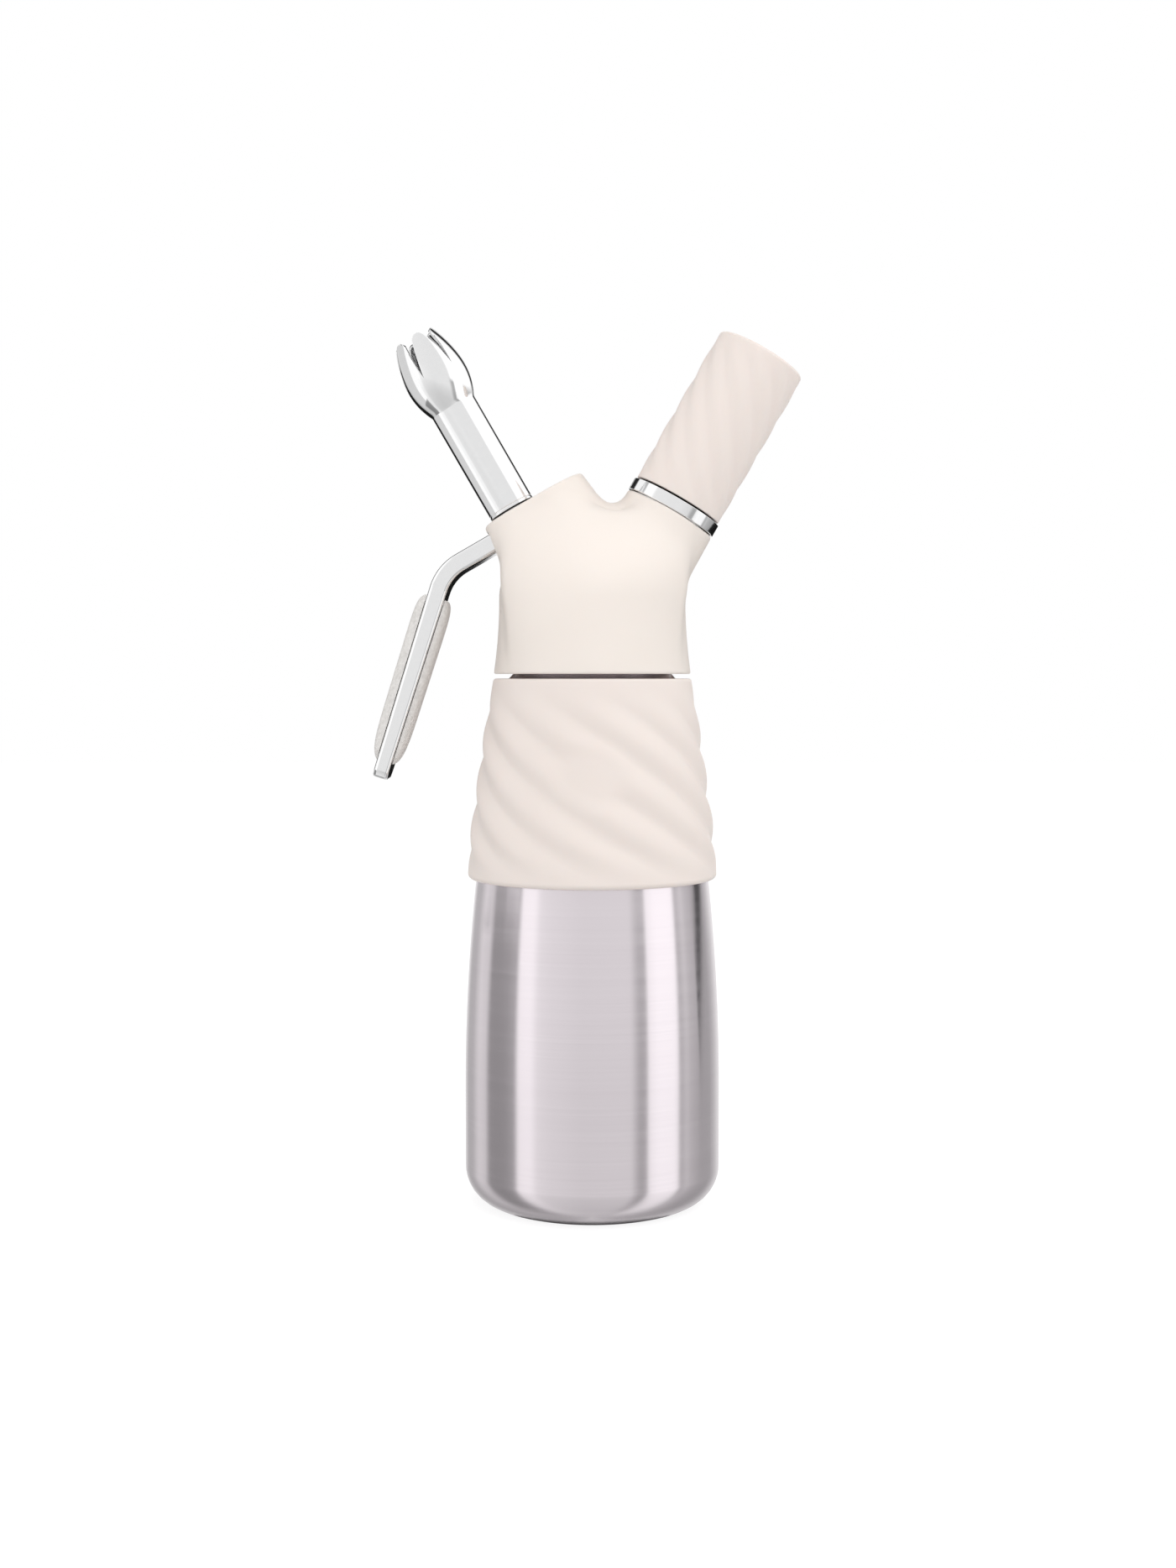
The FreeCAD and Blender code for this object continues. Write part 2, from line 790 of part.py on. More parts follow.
def nipple_ring():
    radius = nipple_root_radius + nipple_ring_section + fit_gap
    return on_outlet_arm(ring(radius, nipple_ring_section, outlet_face - nipple_ring_section - fit_gap))


def bulb(inset, top):
    """Filled tulip, its outside moved inwards by inset. It swells from the neck and closes to the mouth."""
    widest = tip_neck + tip_bulb_height
    points = [(0, tip_neck)]
    for step in range(bulb_rows + 1):
        share = math.cos(math.pi * (1 - step / bulb_rows)) / 2 + 0.5
        radius = tip_tube_radius + (tip_bulb_radius - tip_tube_radius) * math.sin(math.pi / 2 * share)
        points.append((radius - inset, tip_neck + tip_bulb_height * share))
    for step in range(1, bulb_rows + 1):
        share = step / bulb_rows
        radius = tip_bulb_radius - (tip_bulb_radius - tip_mouth_radius) * share ** bulb_closing
        points.append((radius - inset, widest + (top - widest) * share))
    points.append((0, top))
    return turned(points)


def petal_slot():
    """V-shaped cut across the tulip, for two slots that face each other."""
    apex = tip_neck + petal_slot_low
    half = petal_slot_width / 2
    width = tip_bulb_radius * 3
    rounding = tip_high - petal_round
    flare = half + petal_round
    points = [
        (0, apex),
        (half, rounding, petal_round),
        (flare, tip_high),
        (flare, tip_high + petal_round),
        (-flare, tip_high + petal_round),
        (-flare, tip_high),
        (-half, rounding, petal_round),
    ]
    return plate(points, width)


def decorator_tip():
    thread_bore = nipple_thread_radius + thread_clearance
    thread_top = nipple_high + 2 * tip_ring_section + fit_gap
    barrel = turned([
        (0, tip_low),
        (tip_tube_radius, tip_low),
        (tip_tube_radius, tip_neck),
        (0, tip_neck),
    ])
    body = barrel.fuse(bulb(0, tip_high))
    body = body.cut(bulb(tip_wall, tip_high))
    body = body.cut(rod(tip_bore, tip_low - 1, tip_neck + 0.5))
    body = body.cut(rod(thread_bore, tip_low - 1, thread_top))
    slot = petal_slot()
    slot.rotate(Vector(0, 0, 0), Vector(0, 0, 1), petal_turn + whole_turn / petal_count / 2)
    for number in range(petal_count // 2):
        body = body.cut(slot)
        slot.rotate(Vector(0, 0, 0), Vector(0, 0, 1), whole_turn / petal_count)
    return on_outlet_arm(body)


def tip_ring():
    radius = (stem_radius + nipple_thread_radius) / 2
    return on_outlet_arm(ring(radius, tip_ring_section, nipple_high + tip_ring_section + fit_gap / 2))


# Charger arm, drawn in its own frame.

def charger_low():
    """Height of the charger's neck end, on its seal."""
    return charger_nipple_low + needle_base_height + seal_height


def charger_nipple():
    low = charger_nipple_low
    neck_low = charger_low()
    shoulder_low = neck_low + charger_neck_length
    cup = charger_radius + nipple_slack
    throat = charger_neck_radius + nipple_slack
    seat = needle_base_radius + fit_gap
    body = turned([
        (0, low - stud_length),
        (stud_radius, low - stud_length),
        (stud_radius, low),
        (charger_nipple_radius, low),
        (charger_nipple_radius, charger_face),
        (charger_flange_radius, charger_face),
        (charger_flange_radius, charger_face + charger_flange),
        (charger_nipple_radius, charger_face + charger_flange),
        (charger_nipple_radius, charger_nipple_high),
        (cup, charger_nipple_high),
        (cup, shoulder_low + charger_shoulder),
        (throat, shoulder_low),
        (throat, low + needle_base_height),
        (seat, low + needle_base_height),
        (seat, low),
        (0, low),
    ])
    passage = rod(nipple_passage, low - stud_length + nipple_passage_floor, low + 1)
    outlet = Part.makeCylinder(nipple_cross_passage, 4 * stud_radius,
                               Vector(-2 * stud_radius, 0, low - stud_length / 2), Vector(1, 0, 0))
    return on_charger_arm(body.cut(passage).cut(outlet))


def check_sleeve():
    middle = charger_nipple_low - stud_length / 2
    half = check_sleeve_length / 2
    return on_charger_arm(tube(stud_radius + check_sleeve_wall, stud_radius + fit_gap, middle - half,
                               middle + half))


def piercing_pin():
    low = charger_nipple_low
    high = charger_nipple_low + needle_base_height
    body = turned([
        (0, low),
        (needle_base_radius, low),
        (needle_base_radius, high),
        (needle_radius, high),
        (needle_radius, high + needle_height * needle_cone_share),
        (needle_bore, high + needle_height),
        (0, high + needle_height),
    ])
    return on_charger_arm(body.cut(rod(needle_bore, low - 1, high + needle_height + 1)))


def charger_seal():
    low = charger_nipple_low + needle_base_height + fit_gap
    inner = needle_radius + seal_slack
    return on_charger_arm(tube(charger_neck_radius, inner, low, low + seal_height - 2 * fit_gap))


def charger_outline(inset):
    """Outline of the charger, moved inwards by inset."""
    low = charger_low()
    shoulder_low = low + charger_neck_length
    radius = charger_radius - inset
    high = low + charger_length - inset
    points = [
        (0, low + inset * 2),
        (charger_neck_radius - inset, low + inset * 2),
        (charger_neck_radius - inset, shoulder_low),
        (radius, shoulder_low + charger_shoulder),
    ]
    return points + quarter_round(radius, high - radius, radius, False)


def gas_charger():
    body = turned(charger_outline(0)).cut(turned(charger_outline(charger_wall)))
    low = charger_low()
    body = body.cut(rod(charger_cap_radius + fit_gap, low - 1, low + charger_cap_height))
    return on_charger_arm(body.cut(rod(charger_cap_seat, low, low + charger_wall * 2 + 1)))


def charger_cap():
    low = charger_low()
    return on_charger_arm(tube(charger_cap_radius, charger_cap_hole, low, low + charger_cap_height - fit_gap))


def holder_top():
    """Height of the metal holder's closed end."""
    return charger_low() + charger_length + holder_slack + holder_end_wall


def charger_holder():
    low = charger_face + holder_gap
    flange_top = charger_face + charger_flange + holder_gap
    collar_top = charger_face + collar_height
    mouth = charger_flange_radius + holder_mouth_slack
    thread_bore = charger_nipple_radius + thread_clearance
    thread_end = charger_nipple_high + thread_relief
    body = turned([
        (0, low),
        (collar_radius, low),
        (collar_radius, collar_top),
        (holder_radius, collar_top),
        (holder_radius, holder_top()),
        (0, holder_top()),
    ])
    bore_top = holder_top() - holder_end_wall
    bore = turned([
        (0, low - 1),
        (mouth, low - 1),
        (mouth, flange_top),
        (thread_bore, flange_top),
        (thread_bore, thread_end),
        (holder_bore, thread_end + thread_runout),
        (holder_bore, bore_top),
        (0, bore_top),
    ])
    return on_charger_arm(body.cut(bore))


def holder_grip():
    low = charger_face + collar_height + fit_gap
    high = holder_top() + grip_end_wall
    body_low = low + grip_edge_round
    body_high = high - grip_end_round
    rows = [(grip_radius - grip_edge_round, low), (grip_radius, body_low)]
    rows += [(grip_radius, height) for height in spaced(body_low, body_high, rib_rows)]
    rows += quarter_round(grip_radius, body_high, grip_end_round, False)
    body = ribbed(rows, grip_rib_count, grip_rib_height, grip_rib_lead, grip_crest_height, grip_rib_fade)
    core = rod(holder_radius + fit_gap, low - 1, holder_top() + fit_gap)
    return on_charger_arm(body.cut(core))


def build():
    lower_ring, upper_ring = ring_heights()
    bore = stem_radius + running_clearance
    return {
        "bottle": bottle(),
        "bottle_base": bottle_base(),
        "grip_sleeve": grip_sleeve(),
        "head_gasket": head_gasket(),
        "head_body": head_body(),
        "thread_ring": thread_ring(),
        "valve_guide": valve_guide(),
        "valve_stem": valve_stem(),
        "valve_washer": valve_washer(),
        "stem_ring_lower": stem_ring(lower_ring, bore),
        "stem_ring_upper": stem_ring(upper_ring, bore),
        "spring_cup": spring_cup(),
        "cup_clip": cup_clip(),
        "valve_spring": valve_spring(),
        "lever": lever(),
        "lever_grip": lever_grip(),
        "lever_pin": lever_pin(),
        "outlet_nipple": outlet_nipple(),
        "nipple_ring": nipple_ring(),
        "decorator_tip": decorator_tip(),
        "tip_ring": tip_ring(),
        "charger_nipple": charger_nipple(),
        "check_sleeve": check_sleeve(),
        "piercing_pin": piercing_pin(),
        "charger_seal": charger_seal(),
        "gas_charger": gas_charger(),
        "charger_cap": charger_cap(),
        "charger_holder": charger_holder(),
        "holder_grip": holder_grip(),
    }


os.makedirs("parts", exist_ok=True)
for name, shape in build().items():
    shape.exportStep("parts/" + name + ".step")
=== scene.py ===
import math
import bmesh
import bpy
import numpy as np
from mathutils import Matrix, Vector


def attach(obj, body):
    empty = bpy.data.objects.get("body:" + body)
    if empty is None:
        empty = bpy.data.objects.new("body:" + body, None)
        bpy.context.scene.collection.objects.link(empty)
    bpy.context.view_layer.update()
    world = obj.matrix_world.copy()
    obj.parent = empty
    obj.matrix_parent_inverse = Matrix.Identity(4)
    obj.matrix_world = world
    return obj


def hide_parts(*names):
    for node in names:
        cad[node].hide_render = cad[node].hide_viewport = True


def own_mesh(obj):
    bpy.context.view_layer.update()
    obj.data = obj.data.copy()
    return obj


# A hand whipper for cream: a steel bottle with a silicone sleeve, a screwed-on head with a squeeze
# valve and a decorator tip on one arm, and a gas charger in its holder on the other. Sizes are in
# millimetres unless a name or comment says otherwise, and every mesh is made in metres in the
# dispenser's own frame.
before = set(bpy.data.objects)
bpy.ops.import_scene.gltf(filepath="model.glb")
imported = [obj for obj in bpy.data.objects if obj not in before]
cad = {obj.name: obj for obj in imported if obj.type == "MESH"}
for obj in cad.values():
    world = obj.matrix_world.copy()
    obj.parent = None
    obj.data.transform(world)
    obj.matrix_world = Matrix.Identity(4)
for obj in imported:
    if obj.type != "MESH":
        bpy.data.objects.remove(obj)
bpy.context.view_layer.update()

# Studio: a pale floor, a white surround, and a camera a little above the sleeve's rim. Lamps and a
# soft room light the dispenser evenly. Only reflections show the room's dark and light bands.
eye_place = (-0.0013, -0.6014, 0.1622)   # metres
eye_tilt = 3.19                          # degrees below level
eye_lens = 45.2
collection = bpy.context.scene.collection
bpy.context.scene.view_settings.view_transform = "Standard"

camera = bpy.data.objects.new("camera", bpy.data.cameras.new("camera"))
camera.location = eye_place
camera.rotation_euler = (math.radians(90 - eye_tilt), 0, 0)
camera.data.lens = eye_lens
collection.objects.link(camera)
bpy.context.scene.camera = camera


class Signal:
    """A socket of a shader. Arithmetic on it adds Math nodes, and node() adds any other."""

    def __init__(self, tree, socket=None):
        self.tree = tree
        self.socket = socket

    def node(self, kind, settings=None, sockets=None, output=0):
        made = self.tree.nodes.new("ShaderNode" + kind)
        for name, value in (settings or {}).items():
            if name == "stops":
                elements = made.color_ramp.elements
                elements.remove(elements[1])
                for number, (position, level) in enumerate(value):
                    element = elements.new(position) if number else elements[0]
                    element.position = position
                    element.color = (level, level, level, 1)
            else:
                setattr(made, name, value)
        for name, value in (sockets or {}).items():
            if isinstance(value, Signal):
                self.tree.links.new(value.socket, made.inputs[name])
            else:
                made.inputs[name].default_value = value
        return Signal(self.tree, made.outputs[output] if made.outputs else None)

    def math(self, operation, first, second=0.0):
        return self.node("Math", {"operation": operation}, {0: first, 1: second})

    def __add__(self, other):
        return self.math("ADD", self, other)

    def __sub__(self, other):
        return self.math("SUBTRACT", self, other)

    def __mul__(self, other):
        return self.math("MULTIPLY", self, other)

    def __truediv__(self, other):
        return self.math("DIVIDE", self, other)

    def __rsub__(self, other):
        return self.math("SUBTRACT", other, self)

    __radd__ = __add__
    __rmul__ = __mul__

    def mix(self, low, high):
        """Colour between two colours, by this value."""
        return self.node("Mix", {"data_type": "RGBA"}, {0: self, 6: low, 7: high}, 2)

    def surface(self, kind, sockets):
        """Ends a material in a shader of this kind."""
        self.node("OutputMaterial", sockets={"Surface": self.node(kind, sockets=sockets)})


# The reflected room as (azimuth, level), by azimuth from the camera's side: -180 and 180 are behind
# the dispenser and 0 is toward the camera. The first list is the room at the height of the bottle,
# the second what stands above it. The third is a level by the sine of the height's angle.
room_bands = [
    (-180, 0.95), (-163, 0.85), (-152, 0.54), (-138, 0.56), (-124, 0.86), (-112, 0.78),
    (-106, 0.33), (-84, 0.36), (-74, 0.46), (-70, 1.20), (-57, 1.20), (-50, 0.98), (-38, 0.92),
    (-10, 0.85), (35, 0.86), (43, 0.48), (49, 0.46), (52, 1.14), (61, 1.28), (82, 1.28),
    (86, 0.52), (94, 0.72), (100, 0.60), (112, 0.50), (132, 0.46), (140, 0.58), (156, 0.85),
    (180, 0.95),
]
upper_bands = [
    (-180, 0.80), (-166, 0.75), (-162, 0.02), (-136, 0.02), (-131, 1.0), (-104, 1.0), (-99, 0.5),
    (-88, 0.5), (-84, 1.15), (-58, 1.15), (-50, 0.88), (0, 0.85), (40, 0.85), (44, 1.2),
    (134, 1.2), (141, 0.7), (146, 0.02), (162, 0.02), (166, 0.75), (180, 0.80),
]
room_by_height = [(-1.0, 0.72), (-0.8, 0.74), (-0.5, 0.78), (-0.2, 0.90), (-0.05, 1.0), (1.0, 1.0)]
upper_from = 0.14       # sine of the angle at which the upper bands set in
upper_over = 0.12       # and the rise in it over which they do
soft_light = (1, 0.995, 0.985, 1)
soft_strength = 0.66
white = (1, 1, 1, 1)

world = bpy.data.worlds.new("studio")
bpy.context.scene.world = world
world.use_nodes = True
world.node_tree.nodes.clear()
room = Signal(world.node_tree)
direction = room.node("TexCoord", output="Generated")
across, away, lift = (room.node("SeparateXYZ", sockets={0: direction}, output=axis)
                      for axis in "XYZ")
azimuth = room.math("ARCTAN2", across, away * -1) / math.tau + 0.5
lower, upper = (
    room.node("ValToRGB", {"stops": [(angle / 360 + 0.5, level) for angle, level in bands]},
              {0: azimuth})
    for bands in (room_bands, upper_bands))
above = room.node("Math", {"operation": "DIVIDE", "use_clamp": True},
                  {0: lift - upper_from, 1: upper_over})
fall = room.node("ValToRGB", {"stops": [(sine / 2 + 0.5, level) for sine, level in room_by_height]},
                 {0: lift * 0.5 + 0.5})
glossy = room.node("LightPath", output="Is Glossy Ray")
seen = room.math("MAXIMUM", room.node("LightPath", output="Is Camera Ray"),
                 room.node("LightPath", output="Is Transmission Ray"))
soft_room = room.node("Background", sockets={"Color": soft_light, "Strength": soft_strength})
bands_room = room.node("Background", sockets={"Color": above.mix(lower, upper), "Strength": fall})
white_room = room.node("Background", sockets={"Color": white, "Strength": 1.0})
lit_room = room.node("MixShader", sockets={0: glossy, 1: soft_room, 2: bands_room})
shown_room = room.node("MixShader", sockets={0: seen, 1: lit_room, 2: white_room})
room.node("OutputWorld", sockets={"Surface": shown_room})

# Cards: dark ones stand behind the head and lie under the lever's end and the base, and two light
# ones stand beside the tip. Only reflections show them, as dark outlines and pale bands on steel.
behind = 100            # how far back the upright dark cards stand
beside = -195           # how far to the side the light cards stand
light_low = 112         # height of the light cards' lower and upper edges
light_high = 300
under_lever = 84        # height of the card under the lever's end
base_radius = 27
base_height = -12
base_sides = 24
base_card = [(base_radius * math.cos(turn), base_radius * math.sin(turn), base_height)
             for turn in np.arange(base_sides) * math.tau / base_sides]
cards = (
    ("studio_card_tip", 0.01, [
        (-150, behind, 132), (-76, behind, 132), (-76, behind, 292), (-150, behind, 250)]),
    ("studio_card_arms", 0.01, [
        (-6, behind, 132), (15, behind, 132), (15, behind, 270), (-6, behind, 300)]),
    ("studio_card_holder", 0.01, [
        (62, behind, 215), (36, behind, 170), (330, behind, 0), (356, behind, 45)]),
    ("studio_card_bend", 0.01, [
        (-62, behind, 98), (34, behind, 98), (34, behind, 190), (-62, behind, 190)]),
    ("studio_card_lever", 0.02, [
        (-93, 0, under_lever), (-68, 0, under_lever), (-68, 16, under_lever),
        (-93, 16, under_lever)]),
    ("studio_card_base", 0.05, base_card),
    ("studio_card_white", 1.1, [
        (beside, -75, light_low), (beside, -18, light_low), (beside, -18, light_high),
        (beside, -75, light_high)]),
    ("studio_card_grey", 0.70, [
        (beside, -18, light_low), (beside, 98, light_low), (beside, 98, light_high),
        (beside, -18, light_high)]),
)


def new_material(name):
    made = bpy.data.materials.new(name)
    made.use_nodes = True
    made.node_tree.nodes.clear()
    return made, Signal(made.node_tree)


def new_piece(name, points, faces, material, place=Matrix()):
    """Object from points in millimetres, put in place and with the material on it."""
    mesh = bpy.data.meshes.new(name)
    mesh.from_pydata([place @ Vector(point) / 1000 for point in points], [], faces)
    mesh.materials.append(material)
    mesh.shade_smooth()
    made = bpy.data.objects.new(name, mesh)
    collection.objects.link(made)
    return made


for name, level, corners in cards:
    card_paint, sheet = new_material(name)
    sheet.surface("Emission", {"Color": white, "Strength": level})
    card = new_piece(name, corners, [tuple(range(len(corners)))], card_paint)
    for hidden in ("visible_camera", "visible_diffuse", "visible_transmission", "visible_shadow"):
        setattr(card, hidden, False)

# Lamps: five softboxes round the dispenser, and a narrow spot that brightens the head's middle.
# They are hidden from reflections, which only the cards and the room shape.


def add_lamp(name, kind, place, target, power, **shape):
    """Lamp at a place in metres, turned to its target."""
    lamp = bpy.data.objects.new(name, bpy.data.lights.new(name, kind))
    for setting, value in shape.items():
        setattr(lamp.data, setting, value)
    lamp.data.energy = power
    lamp.location = place
    lamp.rotation_euler = (Vector(target) - Vector(place)).to_track_quat("-Z", "Y").to_euler()
    lamp.visible_glossy = False
    collection.objects.link(lamp)


# A softbox a row: its name, its place and target in metres, its width and height, and its power.
for name, place, target, (width, tall), power in (
        ("front_box", (0.12, -0.75, 0.62), (0.0, 0.0, 0.17), (0.45, 0.45), 1.4),
        ("right_box", (0.62, -0.12, 0.62), (0.0, 0.0, 0.13), (0.4, 0.5), 1.2),
        ("left_box", (-0.75, -0.42, 0.30), (0.0, 0.0, 0.15), (0.35, 0.5), 0.7),
        ("back_box", (0.10, 0.75, 0.50), (0.0, 0.0, 0.15), (0.5, 0.5), 0.9),
        ("upper_box", (-0.10, -0.35, 0.95), (0.0, 0.0, 0.17), (0.4, 0.4), 0.9)):
    add_lamp(name, "AREA", place, target, power, shape="RECTANGLE", size=width, size_y=tall)
add_lamp("head_spot", "SPOT", (-0.01, -0.36, 0.21), (-0.005, -0.03, 0.192), 0.30,
         spot_size=math.radians(12), spot_blend=1.0)

# Floor: a large pale sheet that the dispenser stands on. The camera sees it near white, with the
# dispenser's shadow on it, and reflections don't show it.
floor_reach = 3000
floor_glow = 0.82
floor_paint, sheet = new_material("pale_floor")
floor_diffuse = sheet.node("BsdfDiffuse", sockets={"Color": (0.8, 0.8, 0.8, 1)})
floor_shade = sheet.node("BsdfDiffuse", sockets={"Color": (0.3, 0.3, 0.3, 1)})
floor_white = sheet.node("Emission", sockets={"Color": white, "Strength": floor_glow})
floor_seen = sheet.node("AddShader", sockets={0: floor_shade, 1: floor_white})
to_camera = sheet.node("LightPath", output="Is Camera Ray")
sheet.surface("MixShader", {0: to_camera, 1: floor_diffuse, 2: floor_seen})
floor_corners = [(-floor_reach, -floor_reach, 0), (floor_reach, -floor_reach, 0),
                 (floor_reach, floor_reach, 0), (-floor_reach, floor_reach, 0)]
floor = new_piece("studio_floor", floor_corners, [(0, 1, 2, 3)], floor_paint)
floor.visible_glossy = False

# Bottle: drawn and brushed stainless steel, straight below and conical above, with a rolled thread
# on its neck. The brushing runs round it. The head's thread ring screws onto the neck.
bottle_radius = 39.0
bottle_wall = 1.0
base_round = 11.5
foot_radius = 24.0
dish_radius = 21.0
dish_height = 0.9
knee_height = 80.0
knee_round = 600.0
cone_angle = math.radians(8.55)
shoulder_height = 159.0
shoulder_wall = 1.4
neck_radius = 24.0
neck_wall = 1.8
neck_height = 163.0
rim_height = 178.0
thread_depth = 0.8
thread_width = 2.6
thread_pitch = 3.0
thread_low = neck_height + 2.2
thread_high = rim_height - 3.6
steel_dark = (0.76, 0.70, 0.735, 1)
steel_light = (0.86, 0.80, 0.835, 1)


def rounded(points, steps=10):
    """Outline through (radius, height) points. A third number rounds that corner."""
    line = []
    for number, point in enumerate(points):
        here = Vector(point[:2])
        if len(point) < 3:
            line.append(here)
            continue
        back = (Vector(points[number - 1][:2]) - here).normalized()
        ahead = (Vector(points[(number + 1) % len(points)][:2]) - here).normalized()
        half = back.angle(ahead) / 2
        centre = here + (back + ahead).normalized() * point[2] / math.sin(half)
        start = here + back * point[2] / math.tan(half) - centre
        stop = here + ahead * point[2] / math.tan(half) - centre
        for step in range(steps + 1):
            line.append(centre + start.lerp(stop, step / steps).normalized() * point[2])
    return [tuple(spot) for spot in line]


def turned_grid(outline, sides, closed, shift=None):
    """Points and faces of an outline turned about Z. shift(angles, row) moves a row outward."""
    angles = np.arange(sides) * math.tau / sides
    points, faces = [], []
    for number, (radius, height) in enumerate(outline):
        out = radius + (shift(angles, number) if shift else 0 * angles)
        points.append(np.stack([out * np.cos(angles), out * np.sin(angles), 0 * angles + height],
                               1))
    rows = len(outline)
    for row in range(rows if closed else rows - 1):
        low, high = row * sides, (row + 1) % rows * sides
        for side in range(sides):
            after = (side + 1) % sides
            faces.append((low + side, low + after, high + after, high + side))
    return np.concatenate(points), faces


def tidy(piece, sharp=35):
    """Joins doubled points, turns faces outward, and keeps flat faces flat beside round edges."""
    doubled, too_short = 2e-6, 1e-7
    work = bmesh.new()
    work.from_mesh(piece.data)
    bmesh.ops.remove_doubles(work, verts=work.verts, dist=doubled)
    bmesh.ops.dissolve_degenerate(work, edges=work.edges, dist=too_short)
    bmesh.ops.recalc_face_normals(work, faces=work.faces)
    work.to_mesh(piece.data)
    work.free()
    piece.data.shade_smooth()
    piece.data.set_sharp_from_angle(angle=math.radians(sharp))
    weighted = piece.modifiers.new("flat faces", "WEIGHTED_NORMAL")
    weighted.keep_sharp = True
    return piece


def lathe(name, outline, material, place=Matrix(), sides=128):
    """Piece turned about its own Z from an outline of (radius, height[, round]) points."""
    points, faces = turned_grid(rounded(outline), sides, False)
    return tidy(new_piece(name, points, faces, material, place))


def helix_ridge(radius, depth, low, high, pitch, width):
    """Points and faces of a thread's ridge. It stands depth out and runs out at both ends."""
    steps, crest, sunk, run_out = 72, 0.16, -0.1, 4
    turns = (high - low) / pitch
    count = int(turns * steps)
    points, faces = [], []
    for number in range(count + 1):
        share = number / count
        fade = min(1.0, min(share, 1 - share) * turns * run_out)
        angle = math.tau * turns * share
        height = low + (high - low) * share
        for side, out in ((-0.5, sunk), (-crest, depth * fade), (crest, depth * fade), (0.5, sunk)):
            spread = radius + out
            points.append((spread * math.cos(angle), spread * math.sin(angle),
                           height + side * width))
    for number in range(count):
        for side in range(3):
            first = number * 4 + side
            faces.append((first, first + 4, first + 5, first + 1))
    return points, faces


def add_mesh(piece, points, faces):
    """Adds a second closed or open form to a piece's mesh."""
    work = bmesh.new()
    work.from_mesh(piece.data)
    corners = [work.verts.new(Vector(point) / 1000) for point in points]
    for face in faces:
        work.faces.new([corners[index] for index in face]).smooth = True
    work.to_mesh(piece.data)
    work.free()


def noise(place, scale, detail, roughness=0.5):
    """Noise over a surface, by its place in metres."""
    return place.node("TexNoise", sockets={
        "Vector": place, "Scale": scale, "Detail": detail, "Roughness": roughness})


def relief(grain, strength, distance):
    """Fine relief for a surface's normal. The distance is in metres."""
    return grain.node("Bump", sockets={
        "Height": grain, "Strength": strength, "Distance": distance})


steel, sheet = new_material("brushed_steel")
spot = sheet.node("TexCoord", output="Object")
fine, coarse = (sheet.node("Mapping", sockets={"Vector": spot, "Scale": stretch})
                for stretch in ((14, 14, 2600), (9, 9, 420)))
grain = noise(fine, 1.0, 3.0, 0.6)
streaks = noise(coarse, 1.0, 2.0)
sheet.surface("BsdfPrincipled", {
    "Base Color": (grain * 0.5 + streaks * 0.5).mix(steel_dark, steel_light),
    "Metallic": 1.0, "Roughness": streaks * 0.08 + 0.16,
    "Anisotropic": 0.95, "Anisotropic Rotation": 0.25, "Normal": relief(grain, 0.12, 0.00004)})


def wall_radius(height, inset=0.0):
    """Radius of the bottle's side at a height."""
    reach = knee_round * math.tan(cone_angle / 2)
    start = knee_height - reach
    if height <= start:
        return bottle_radius - inset
    if height >= knee_height + reach * math.cos(cone_angle):
        return bottle_radius - (height - knee_height) * math.tan(cone_angle) - inset
    return bottle_radius - knee_round + math.sqrt(knee_round ** 2 - (height - start) ** 2) - inset


root_radius = neck_radius - thread_depth
bottle = lathe("steel_bottle", [
    (0, dish_height), (dish_radius, dish_height, 3.0), (foot_radius, 0, 1.2),
    (bottle_radius, 0, base_round),
    *[(wall_radius(height), height) for height in range(20, 156, 4)],
    (wall_radius(shoulder_height), shoulder_height, 2.5),
    (root_radius, neck_height + 0.3, 1.2), (root_radius, rim_height - 2.4, 0.5),
    (neck_radius, rim_height - 1.7, 0.3), (neck_radius, rim_height, 0.5),
    (neck_radius - 1.4, rim_height, 0.5), (neck_radius - neck_wall, rim_height - 3, 1.0),
    (neck_radius - neck_wall, neck_height, 1.0),
    (wall_radius(shoulder_height, shoulder_wall), shoulder_height - 1, 2.0),
    *[(wall_radius(height, bottle_wall), height) for height in range(156, 20, -6)],
    (bottle_radius - bottle_wall, bottle_wall, base_round - bottle_wall),
    (0, bottle_wall + dish_height),
], steel, sides=192)
add_mesh(bottle, *helix_ridge(root_radius, thread_depth, thread_low, thread_high, thread_pitch,
                              thread_width))
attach(bottle, "bottle")
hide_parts("bottle", "bottle_base")

# Sleeve: cream silicone pulled over the bottle's cone, with ten ribs twisted round it. The ribs
# fade out at both ends and round a plain pad at the front. Its top lies on the bottle's shoulder.
sleeve_low = 100.0
sleeve_high = 160.9
sleeve_thickness = 2.65
sleeve_flare = 0.0107
sleeve_edge = 1.5
sleeve_row = 0.7
wall_gap = 0.03
shoulder_gap = 0.05
rib_count = 10
rib_sharpness = 0.3
sleeve_rib_depth = 1.4
sleeve_rib_lead = 141.0
sleeve_crest = 138.1    # height at which a crest passes the front
low_fade = 13
high_fade = 20
plain_height = 132.5    # middle of the plain pad
plain_half_width = 10.5
plain_half_height = 9.0
silicone_dark = (0.865, 0.78, 0.735, 1)
silicone_light = (0.885, 0.80, 0.755, 1)

silicone, sheet = new_material("cream_silicone")
spot = sheet.node("TexCoord", output="Object")
skin = noise(spot, 2600.0, 2.0)
clouds = noise(spot, 34.0, 2.0)
sheet.surface("BsdfPrincipled", {
    "Base Color": clouds.mix(silicone_dark, silicone_light),
    "Roughness": skin * 0.06 + 0.55, "Specular IOR Level": 0.35, "Subsurface Weight": 0.08,
    "Subsurface Radius": (0.004, 0.0025, 0.0018), "Subsurface Scale": 1.0,
    "Sheen Weight": 0.06, "Sheen Roughness": 0.5, "Normal": relief(skin, 0.10, 0.00005)})


